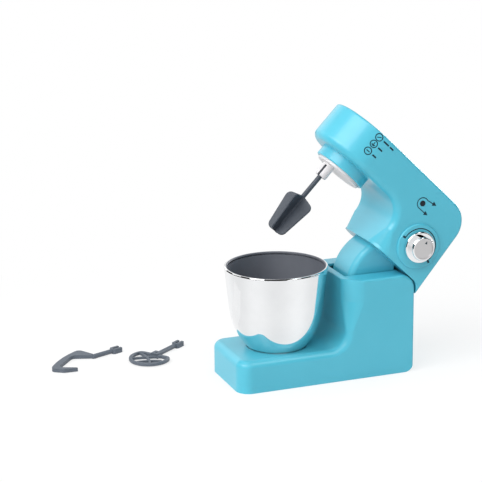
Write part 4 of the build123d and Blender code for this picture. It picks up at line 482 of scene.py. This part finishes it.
cell_low, cell_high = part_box("batteries")
cell_sleeve = banded_cell("cell sleeve", (0.035, 0.036, 0.040), (0.55, 0.33, 0.16),
                          cell_low.x + CELL_BAND_START * (cell_high.x - cell_low.x))

board_green = finish("board varnish", [(0.020, 0.120, 0.050), (0.10, 0.30, 0.13)], skin,
                     {"Patch Scale": 40.0, "Grain Scale": 900.0, "Gloss": 0.3, "Gloss Spread": 0.12},
                     (0.06, 0.0001), {"IOR": 1.5})
board_tree = board_green.node_tree
tracks = board_tree.nodes.new("ShaderNodeTexBrick")
tracks.inputs["Scale"].default_value = TRACK_SCALE
tracks.inputs["Mortar Size"].default_value = TRACK_WIDTH
board_where = board_tree.nodes.new("ShaderNodeTexCoord")
board_turn = board_tree.nodes.new("ShaderNodeMapping")
board_turn.inputs["Rotation"].default_value = (math.radians(90), 0.0, 0.0)
board_tree.links.new(board_where.outputs["Object"], board_turn.inputs["Vector"])
board_tree.links.new(board_turn.outputs[0], tracks.inputs["Vector"])
board_tree.links.new(tracks.outputs["Fac"], node_of(board_tree, "MIX").inputs["Factor"])
print("patterned", cell_sleeve.name, "and", board_green.name)

# %% [markdown]
# Each solid of the mixer takes the finish of the real piece. A table from finish to pieces is easy to
# check by eye.

# %% Finishes on the solids
dressed = {
    turquoise: ["base_housing", "head_shell_near", "head_shell_far", "neck_arm", "spindle_collar",
                "base_plate", "battery_door"],
    white: ["planet_carrier", "tool_hub"],
    slate: ["dough_hook", "wire_beater"],
    shaded_paddle_slate: ["paddle_beater"],
    bowl_plating: ["bowl_shell"],
    knob_plating: ["speed_knob"],
    bowl_grey: ["bowl_liner"],
    lens_dark: ["indicator_lens", "indicator_led"],
    gear_nylon: ["ring_gear", "carrier_gear", "planet_gear", "compound_gear"],
    inner_grey: ["battery_tray", "gear_plate", "motor_bracket", "hinge_sleeve", "knob_spindle"],
    black_part: ["speed_switch"],
    rubber: ["friction_washers"],
    lead_red: ["base_lead", "head_lead"],
    zinc: ["base_screws", "battery_door_screw", "head_screws", "neck_screws", "gear_plate_screws",
           "motor_screws", "board_screws", "hinge_pin", "compound_axle", "motor_shaft",
           "battery_contacts", "carrier_clip"],
    motor_can: ["motor"],
    brass: ["motor_pinion"],
    cell_sleeve: ["batteries"],
    board_green: ["control_board"],
}
for material, names in dressed.items():
    for name in names:
        slots = nodes[name].data.materials
        slots.clear()
        slots.append(material)
print("dressed", sum(len(names) for names in dressed.values()), "of", len(nodes), "solids")

# %% [markdown]
# The marks on the head are pad-printed in dark ink: a half-circle scale with two end marks round the knob,
# a bent double arrow round the lens, and a small legend of ringed signs near the nose. Ink could be a
# texture, but a texture needs a flattened map of the shell. A thin band carried along each line stays
# sharp at any distance, so each mark is a band a few hundredths of a millimetre proud of the plastic.
# Marks are drawn with the head shut, where the side is upright, and are then carried round the hinge as
# the head is.

# %% Ink bands on the side of the head
HINGE = np.array([80.0, 89.0])
OPEN = math.radians(44.0)
SPINDLE_X = -39.0
HALF_WIDTH = 44.0
PAD_HEIGHT = 2.0
DISH_HEIGHT = 12.9
INK_PROUD = 0.04
INK_SUNK = 0.06
INK_STEP = 0.03
LINE_POINTS = 12
MM_PER_METRE = 1000.0


def carry_open(points):
    """Points of the shut head in millimetres, turned about the hinge to the open head, in metres."""
    x, y, z = points[..., 0] - HINGE[0], points[..., 1], points[..., 2] - HINGE[1]
    turned = (HINGE[0] + x * math.cos(OPEN) + z * math.sin(OPEN), y,
              HINGE[1] - x * math.sin(OPEN) + z * math.cos(OPEN))
    return np.stack(turned, axis=-1) / MM_PER_METRE


def shell_y(x):
    """Near side of the shut head at a length: flat behind the spindle, a round cylinder in front of it."""
    ahead_of_spindle = np.minimum(x - SPINDLE_X, 0.0)
    return -np.sqrt(HALF_WIDTH**2 - ahead_of_spindle**2)


def ink_band(path, width, closed=False, raised=0.0):
    """Band of a width along a path of (x, z) points on the side of the shut head. At each point the
    band's four corners lie half the width to either side of the path, one pair just proud of the
    plastic and one just in it."""
    path = np.asarray(path, float)
    if closed:
        along = np.roll(path, -1, axis=0) - np.roll(path, 1, axis=0)
    else:
        along = np.gradient(path, axis=0)
    along /= np.linalg.norm(along, axis=1, keepdims=True)
    across = np.stack([-along[:, 1], along[:, 0]], axis=1) * (np.ones(len(path)) * width / 2)[:, None]
    edges = np.stack([path + across, path - across, path - across, path + across], axis=1)
    depth = np.array([-INK_PROUD, -INK_PROUD, INK_SUNK, INK_SUNK]) - raised
    y = shell_y(edges[..., 0]) + depth[None, :]
    return carry_open(np.stack([edges[..., 0], y, edges[..., 1]], axis=-1)), closed


def arc(centre, radius, start, end, count):
    """Points of an arc from a start to an end angle in degrees, by cosine and sine about a centre."""
    angle = np.radians(np.linspace(start, end, count))
    return np.stack([centre[0] + radius * np.cos(angle), centre[1] + radius * np.sin(angle)], axis=1)


def line(start, end, count=LINE_POINTS):
    """Evenly spaced points on a straight line."""
    share = np.linspace(0.0, 1.0, count)[:, None]
    return np.asarray(start) * (1 - share) + np.asarray(end) * share


ink = finish(
    "printing ink", [(0.010, 0.028, 0.040), (0.016, 0.036, 0.050)], skin,
    {"Patch Scale": 500.0, "Grain Scale": 3000.0, "Gloss": 0.42, "Gloss Spread": 0.12},
    (0.08, 0.00005), {"Specular IOR Level": 0.12},
)


def print_mark(name, body, bands):
    """Bands of one printed mark as a piece that rides on a body."""
    piece = grid_piece(name, bands)
    piece.data.materials.append(ink)
    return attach(piece, body)


def ray(centre, angle, near, far):
    """Straight line outwards from a centre at an angle in degrees, from a near to a far radius."""
    way = np.array([math.cos(math.radians(angle)), math.sin(math.radians(angle))])
    return line(np.asarray(centre) + way * near, np.asarray(centre) + way * far)


def taper(widths):
    """Widths along a straight line that change evenly from the first to the last."""
    return np.linspace(*widths, LINE_POINTS)


print("an ink band stands", INK_PROUD, "mm proud of the plastic")

# %% [markdown]
# The dial's scale is a half circle with a thick mark at either end, and the knob carries a wedge that
# points at it. Places are in millimetres on the side of the shut head, first along the head and then up.
# Both lie on raised plastic: the scale on the round pad, and the wedge on the face of the knob, with which
# it turns.

# %% Dial scale and knob pointer
DIAL = (62.0, 133.0)
SCALE_RADIUS = 18.6
SCALE_ENDS = (190, -16)
SCALE_POINTS = 73
SCALE_WIDTH = 1.1
END_MARKS = (188, -14)
END_MARK_REACH = (18.4, 21.6)
END_MARK_WIDTH = 2.2
POINTER_ANGLE = 108
POINTER_REACH = (5.6, 8.6)
POINTER_WIDTHS = (2.8, 0.3)

scale = [ink_band(arc(DIAL, SCALE_RADIUS, *SCALE_ENDS, SCALE_POINTS), SCALE_WIDTH, raised=PAD_HEIGHT)]
for angle in END_MARKS:
    mark = ray(DIAL, angle, *END_MARK_REACH)
    scale.append(ink_band(mark, END_MARK_WIDTH, raised=PAD_HEIGHT + INK_STEP))
dial_scale = print_mark("dial_scale", "head", scale)
wedge = ink_band(ray(DIAL, POINTER_ANGLE, *POINTER_REACH), taper(POINTER_WIDTHS), raised=DISH_HEIGHT)
knob_pointer = print_mark("knob_pointer", "knob", [wedge])
print("printed", dial_scale.name, "and", knob_pointer.name)

# %% [markdown]
# The turn arrow is one bent line round the lens with a wedge at both ends. The line is three stretches
# joined end to end, a straight one, an arc and another straight one, with their places counted from the
# lens. The wedges lie a little higher than the line, so that no two faces share a place.

# %% Turn arrow
SPOT = np.array([34.8, 167.7])
SWEEP_RADIUS = 6.0
SWEEP_ANGLES = (70, 268)
SWEEP_POINTS = 40
TAIL_POINTS = 10
UPPER_TAIL = (10.0, 7.0)
LOWER_TAIL = (9.0, -5.8)
ARROW_WIDTH = 0.95
ARROW_HEADS = (
    ((9.0, 6.9), (13.6, 7.8), (4.6, 0.4)),
    ((8.2, -5.8), (12.6, -5.4), (4.4, 0.4)),
)

sweep = arc(SPOT, SWEEP_RADIUS, *SWEEP_ANGLES, SWEEP_POINTS)
upper = line(SPOT + UPPER_TAIL, sweep[0], TAIL_POINTS)[:-1]
lower = line(sweep[-1], SPOT + LOWER_TAIL, TAIL_POINTS)[1:]
arrow = [ink_band(np.concatenate([upper, sweep, lower]), ARROW_WIDTH)]
for start, end, widths in ARROW_HEADS:
    arrow.append(ink_band(line(SPOT + start, SPOT + end), taper(widths), raised=INK_STEP))
turn_arrow = print_mark("turn_arrow", "head", arrow)
print("printed", turn_arrow.name, "with", len(arrow), "bands")

# %% [markdown]
# The legend near the nose has three rows. Each has a ringed sign and a bar, and the first row has a second
# bar. The signs are a slash, a hook with a stem and a dash. Places are counted from the middle of each
# ring.

# %% Legend
LEGEND_X = -49.5
LEGEND_ROWS = (185.6, 177.2, 168.3)
LEGEND_RING_RADIUS = 3.6
LEGEND_RING_ANGLES = (0, 354)
LEGEND_RING_POINTS = 60
LEGEND_RING_WIDTH = 1.0
BARS = (((6.0, 13.56), (15.4, 20.6)), ((6.0, 11.76),), ((6.0, 11.04),))
BAR_WIDTH = 1.7
SIGN_SLASH = ((-1.9, -1.3), (1.9, 1.3), 0.9)
HOOK_RADIUS = 1.7
HOOK_ANGLES = (190, 350)
HOOK_POINTS = 20
HOOK_WIDTH = 1.1
SIGN_STEM = ((0.0, -1.4), (0.0, 2.2), 0.9)
SIGN_DASH = ((-2.0, 0.0), (2.0, 0.0), 1.1)


def legend_line(middle, start, end, width, raised=0.0):
    """Straight band between two points counted from the middle of a ring."""
    return ink_band(line(middle + start, middle + end), width, raised=raised)


slash_row, hook_row, dash_row = [np.array([LEGEND_X, height]) for height in LEGEND_ROWS]
legend = []
for middle, bars in zip((slash_row, hook_row, dash_row), BARS):
    ring = arc(middle, LEGEND_RING_RADIUS, *LEGEND_RING_ANGLES, LEGEND_RING_POINTS)
    legend.append(ink_band(ring, LEGEND_RING_WIDTH, closed=True))
    for bar_start, bar_end in bars:
        legend.append(legend_line(middle, (bar_start, 0.0), (bar_end, 0.0), BAR_WIDTH))
legend.append(legend_line(slash_row, *SIGN_SLASH))
legend.append(ink_band(arc(hook_row, HOOK_RADIUS, *HOOK_ANGLES, HOOK_POINTS), HOOK_WIDTH))
legend.append(legend_line(hook_row, *SIGN_STEM, raised=INK_STEP))
legend.append(legend_line(dash_row, *SIGN_DASH))
legend_signs = print_mark("legend_signs", "head", legend)
print("printed", legend_signs.name, "with", len(legend), "bands")

# %% [markdown]
# The toy stands on a pale sheet that runs far behind it, so no horizon shows. The sheet could curve up
# into a backdrop, but the room behind it is just as white, so a flat one is enough.

# %% Floor
FLOOR_HALF = 12.0


def sheet(name, points):
    """Open sheet through a grid of points (rows, columns, 3): each face joins a point with the next
    column and the next row."""
    rows, columns = points.shape[:2]
    index = np.arange(rows * columns).reshape(rows, columns)
    faces = np.stack([index[:-1, :-1], index[:-1, 1:], index[1:, 1:], index[1:, :-1]], axis=-1).reshape(-1, 4)
    mesh = bpy.data.meshes.new(name)
    mesh.from_pydata(points.reshape(-1, 3).tolist(), [], faces.tolist())
    piece = bpy.data.objects.new(name, mesh)
    bpy.context.scene.collection.objects.link(piece)
    return piece


ends = np.array([-FLOOR_HALF, FLOOR_HALF])
floor_x, floor_y = np.meshgrid(ends, ends)
floor = sheet("floor", np.stack([floor_x, floor_y, np.zeros_like(floor_x)], axis=-1))
print("floor", [round(v, 1) for v in floor.dimensions])

# %% [markdown]
# A photograph for a catalogue has a white ground with a soft shadow under the toy. Near the toy the paper
# is mostly an ordinary diffuse surface, which keeps the shadow, and further out it turns into a plain
# white for the camera and for mirror-like pieces. The bowl mirrors mostly the floor, so for mirror-like
# rays the white swells and dips four times round the bowl, as a cosine of the angle about its axis, which
# draws the faint upright bands on the plating.

# %% Paper of the floor
PAPER_COLOUR = (0.86, 0.86, 0.86, 1.0)
PAPER_ROUGHNESS = 0.9
PAPER_SHINE = 0.1
NEAR_WHITE = 0.70
FADE_FROM = 0.15
FADE_TO = 0.50
MIRROR_BANDS = 4.0
MIRROR_BAND_DEPTH = 0.14


def seen_rays(tree):
    """One for a ray from the camera, from a mirror-like surface or through a clear one, and zero for
    others."""
    kind = tree.nodes.new("ShaderNodeLightPath")
    straight = math_node(tree, "MAXIMUM", kind.outputs["Is Camera Ray"], kind.outputs["Is Glossy Ray"])
    return math_node(tree, "MAXIMUM", straight, kind.outputs["Is Transmission Ray"])


paper = bpy.data.materials.new("white paper")
paper.use_nodes = True
paper_tree = paper.node_tree
paper_shader = paper_tree.nodes["Principled BSDF"]
paper_shader.inputs["Base Color"].default_value = PAPER_COLOUR
paper_shader.inputs["Roughness"].default_value = PAPER_ROUGHNESS
paper_shader.inputs["Specular IOR Level"].default_value = PAPER_SHINE
paper_where = paper_tree.nodes.new("ShaderNodeTexCoord").outputs["Object"]

away = paper_tree.nodes.new("ShaderNodeVectorMath")
away.operation = "LENGTH"
whiter = paper_tree.nodes.new("ShaderNodeMapRange")
whiter.interpolation_type = "SMOOTHSTEP"
whiter.inputs["From Min"].default_value = FADE_FROM
whiter.inputs["From Max"].default_value = FADE_TO
whiter.inputs["To Min"].default_value = NEAR_WHITE
paper_tree.links.new(paper_where, away.inputs[0])
paper_tree.links.new(away.outputs["Value"], whiter.inputs["Value"])
whitened = math_node(paper_tree, "MULTIPLY", seen_rays(paper_tree), whiter.outputs[0])

from_axis = paper_tree.nodes.new("ShaderNodeMapping")
from_axis.inputs["Location"].default_value = (-bowl_centre.x, -bowl_centre.y, 0.0)
from_bowl = paper_tree.nodes.new("ShaderNodeSeparateXYZ")
paper_tree.links.new(paper_where, from_axis.inputs["Vector"])
paper_tree.links.new(from_axis.outputs[0], from_bowl.inputs[0])
round_bowl = math_node(paper_tree, "ARCTAN2", from_bowl.outputs["X"], from_bowl.outputs["Y"])
from_camera = math_node(paper_tree, "SUBTRACT", round_bowl, COMPASS)
wave = math_node(paper_tree, "COSINE", math_node(paper_tree, "MULTIPLY", from_camera, MIRROR_BANDS))
swell = math_node(paper_tree, "ADD", wave, 1.0)
band = math_node(paper_tree, "MULTIPLY", swell, MIRROR_BAND_DEPTH / 2)
ray_kind = paper_tree.nodes.new("ShaderNodeLightPath")
dip = math_node(paper_tree, "MULTIPLY", band, ray_kind.outputs["Is Glossy Ray"])
glow = paper_tree.nodes.new("ShaderNodeEmission")
paper_tree.links.new(math_node(paper_tree, "SUBTRACT", 1.0, dip), glow.inputs["Strength"])

mixed = paper_tree.nodes.new("ShaderNodeMixShader")
paper_tree.links.new(whitened, mixed.inputs["Fac"])
paper_tree.links.new(paper_shader.outputs[0], mixed.inputs[1])
paper_tree.links.new(glow.outputs[0], mixed.inputs[2])
paper_tree.links.new(mixed.outputs[0], paper_tree.nodes["Material Output"].inputs["Surface"])
floor.data.materials.append(paper)
print("paper", paper.name, "with", len(paper_tree.nodes), "nodes")

# %% [markdown]
# The light is that of a small product studio. A broad soft box high on the left in front gives the long
# soft highlights on the glossy shell, and weaker ones in front on the right, on the left, overhead, and
# behind the toy on both sides fill the shadows. One bare lamp would throw a hard shadow, so broad boxes
# were chosen.

# %% Lamps
TOY = (0.0, 0.0, 0.12)
LAMPS = {
    "key": ((-1.56, -0.97, 1.66), (2.0, 2.0), 50.0),
    "fill": ((0.35, -1.30, 2.10), (1.2, 1.0), 16.0),
    "left": ((-2.0, 0.0, 1.2), (1.6, 1.6), 17.0),
    "back": ((-0.59, 1.81, 0.88), (1.6, 1.0), 3.2),
    "rear": ((2.0, 1.0, 0.5), (1.2, 0.8), 24.0),
    "overhead": ((0.0, 0.3, 2.0), (1.8, 1.4), 6.0),
}


def soft_box(name, place, size, power):
    """Rectangular lamp at a place, turned to face the toy."""
    data = bpy.data.lights.new(name, "AREA")
    data.shape = "RECTANGLE"
    data.size, data.size_y = size
    data.energy = power
    lamp = bpy.data.objects.new(name, data)
    lamp.location = place
    lamp.rotation_euler = (Vector(TOY) - Vector(place)).to_track_quat("-Z", "Y").to_euler()
    bpy.context.scene.collection.objects.link(lamp)


for name, (place, size, power) in LAMPS.items():
    soft_box(name, place, size, power)
print("lamps", list(LAMPS))

# %% [markdown]
# The room is plain white to the camera and to mirror-like pieces, and gives only a weak and slightly cool
# light of its own. One brightness for both could be used, but a white room would then wash out the
# shadows.

# %% Room
AIR_COLOUR = (0.95, 0.97, 1.0, 1.0)
AIR_STRENGTH = 0.25
WALL_COLOUR = (1.0, 1.0, 1.0, 1.0)
WALL_STRENGTH = 1.0

world = bpy.data.worlds.new("room")
world.use_nodes = True
bpy.context.scene.world = world
room = world.node_tree
air = room.nodes["Background"]
air.inputs["Color"].default_value = AIR_COLOUR
air.inputs["Strength"].default_value = AIR_STRENGTH
walls = room.nodes.new("ShaderNodeBackground")
walls.inputs["Color"].default_value = WALL_COLOUR
walls.inputs["Strength"].default_value = WALL_STRENGTH
choose = room.nodes.new("ShaderNodeMixShader")
room.links.new(seen_rays(room), choose.inputs["Fac"])
room.links.new(air.outputs[0], choose.inputs[1])
room.links.new(walls.outputs[0], choose.inputs[2])
room.links.new(choose.outputs[0], room.nodes["World Output"].inputs["Surface"])
bpy.context.scene.view_settings.view_transform = "Standard"
print("room", world.name, "with", len(room.nodes), "nodes")

# %% [markdown]
# A plated piece is a picture of the room, so a studio hangs cards round it. A card is a sheet of one even
# colour that only mirror-like rays see, so it neither shows nor throws a shadow. A card that has to show
# in a rounded edge is placed backwards, by mirroring the camera's sight lines in that edge.

# %% Cards that only mirrors see
TURN_STEPS = 13
TILT_STEPS = 9


def mirrored_patch(place, reach, axis, first, turns, tilts):
    """Patch, at a reach, that the camera sees mirrored in a rounded edge at a place, or at one place
    for each turn. The edge's surface directions lie between two turns about the axis, counted from the
    first direction, and two tilts away from the axis. Each sight line is mirrored in them: the line
    less twice its share along the surface direction."""
    turn, tilt = np.meshgrid(np.radians(np.linspace(*turns, TURN_STEPS)),
                             np.radians(np.linspace(*tilts, TILT_STEPS)))
    flat = np.cos(turn)[..., None] * np.array(first) + np.sin(turn)[..., None] * np.cross(axis, first)
    facing = np.cos(tilt)[..., None] * np.array(axis) + np.sin(tilt)[..., None] * flat
    sight = place - np.array(EYE)
    sight = sight / np.linalg.norm(sight, axis=-1, keepdims=True)
    return place + reach * (sight - 2.0 * (facing * sight).sum(axis=-1, keepdims=True) * facing)


def card(name, points, colour):
    """Sheet of one even colour that only mirror-like rays see."""
    piece = sheet(name, points)
    material = bpy.data.materials.new(name)
    material.use_nodes = True
    tree = material.node_tree
    tint = tree.nodes.new("ShaderNodeEmission")
    tint.inputs["Color"].default_value = (*colour, 1.0)
    tree.links.new(tint.outputs[0], tree.nodes["Material Output"].inputs["Surface"])
    piece.data.materials.append(material)
    piece.visible_camera = False
    piece.visible_diffuse = False
    piece.visible_transmission = False
    piece.visible_shadow = False


print("a mirrored patch has", TURN_STEPS, "by", TILT_STEPS, "points")

# %% [markdown]
# Dark strips draw the short dashes on the rolled rim and the thin lines between them, and a few more draw
# the dark accents of the knob. The strips for the left and the front of the rim hang close to it, where
# the knob doesn't mirror them. Those for its right and for the knob hang far off.

# %% Dark strips for the rim and the knob
BLACK = (0.0, 0.0, 0.0)
FAR_REACH = 1.5
CLOSE_REACH = 0.1
RIM_RADIUS = 0.0515
RIM_DASHES = ((-72, -57), (-43, -31), (-14, 11), (27, 40))
DASH_TILTS = (26, 80)
RIM_LINES = ((-57, -43), (-31, -14), (20, 27), (40, 52))
LINE_TILTS = (62, 80)
KNOB_DASHES = ((150, 195), (236, 270), (-35, -8), (100, 116))
KNOB_TILTS = (35, 75)

towards_eye = (-math.sin(COMPASS), -math.cos(COMPASS), 0.0)
rim_marks = [(turns, DASH_TILTS) for turns in RIM_DASHES] + [(turns, LINE_TILTS) for turns in RIM_LINES]
for number, (turns, tilts) in enumerate(rim_marks):
    reach = FAR_REACH if turns[0] > 0 else CLOSE_REACH
    rim_turn = np.radians(np.linspace(*turns, TURN_STEPS)) - COMPASS
    rim_x = bowl_centre.x + RIM_RADIUS * np.sin(rim_turn)
    rim_y = bowl_centre.y - RIM_RADIUS * np.cos(rim_turn)
    rim = np.stack([rim_x, rim_y, np.full(rim_turn.shape, bowl_high.z)], axis=-1)
    card(f"rim_card_{number}", mirrored_patch(rim, reach, (0, 0, 1), towards_eye, turns, tilts), BLACK)
for number, turns in enumerate(KNOB_DASHES):
    patch = mirrored_patch(np.array(knob_centre), FAR_REACH, (0, -1, 0), (1, 0, 0), turns, KNOB_TILTS)
    card(f"knob_card_{number}", patch, BLACK)
print("strips", len(rim_marks), "for the rim and", len(KNOB_DASHES), "for the knob")

# %% [markdown]
# A white sheet over the loose tools keeps them out of the bowl's mirror, and a dark flag just beyond the
# column, seen only by mirror-like rays, paints a dark reflection on the column's front: painted shade that
# keeps that front dark instead of milky. Both are plain rectangles, so four points are enough.

# %% White sheet and dark flag
WHITE = (1.0, 1.0, 1.0)
TOOL_MARGIN = 0.01
TOOL_ROOM = 0.004
# Colour of the flag, mirrored on the column's front as painted shade.
FLAG_COLOUR = (0.010, 0.090, 0.120)
FLAG_LOW = (-0.030, 0.062, 0.0)
FLAG_HIGH = (0.085, 0.062, 0.10)


def upright_sheet(low, high):
    """Four points of an upright sheet between two corners, with the corner's first two numbers along
    the floor."""
    share, lift = np.meshgrid(np.array([0.0, 1.0]), np.array([low[2], high[2]]))
    return np.stack([low[0] + share * (high[0] - low[0]), low[1] + share * (high[1] - low[1]), lift], axis=-1)


def flat_sheet(low, high, lift):
    """Four points of a level sheet between two corners on plan, at a height."""
    across, along = np.meshgrid(np.array([low[0], high[0]]), np.array([low[1], high[1]]))
    return np.stack([across, along, np.full(across.shape, lift)], axis=-1)


tools = [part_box("dough_hook"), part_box("wire_beater")]
tool_low = [min(low[axis] for low, high in tools) - TOOL_MARGIN for axis in range(2)]
tool_high = [max(high[axis] for low, high in tools) + TOOL_MARGIN for axis in range(2)]
tool_top = max(high.z for low, high in tools) + TOOL_ROOM
card("white_card", flat_sheet(tool_low, tool_high, tool_top), WHITE)
card("dark_flag", upright_sheet(FLAG_LOW, FLAG_HIGH), FLAG_COLOUR)
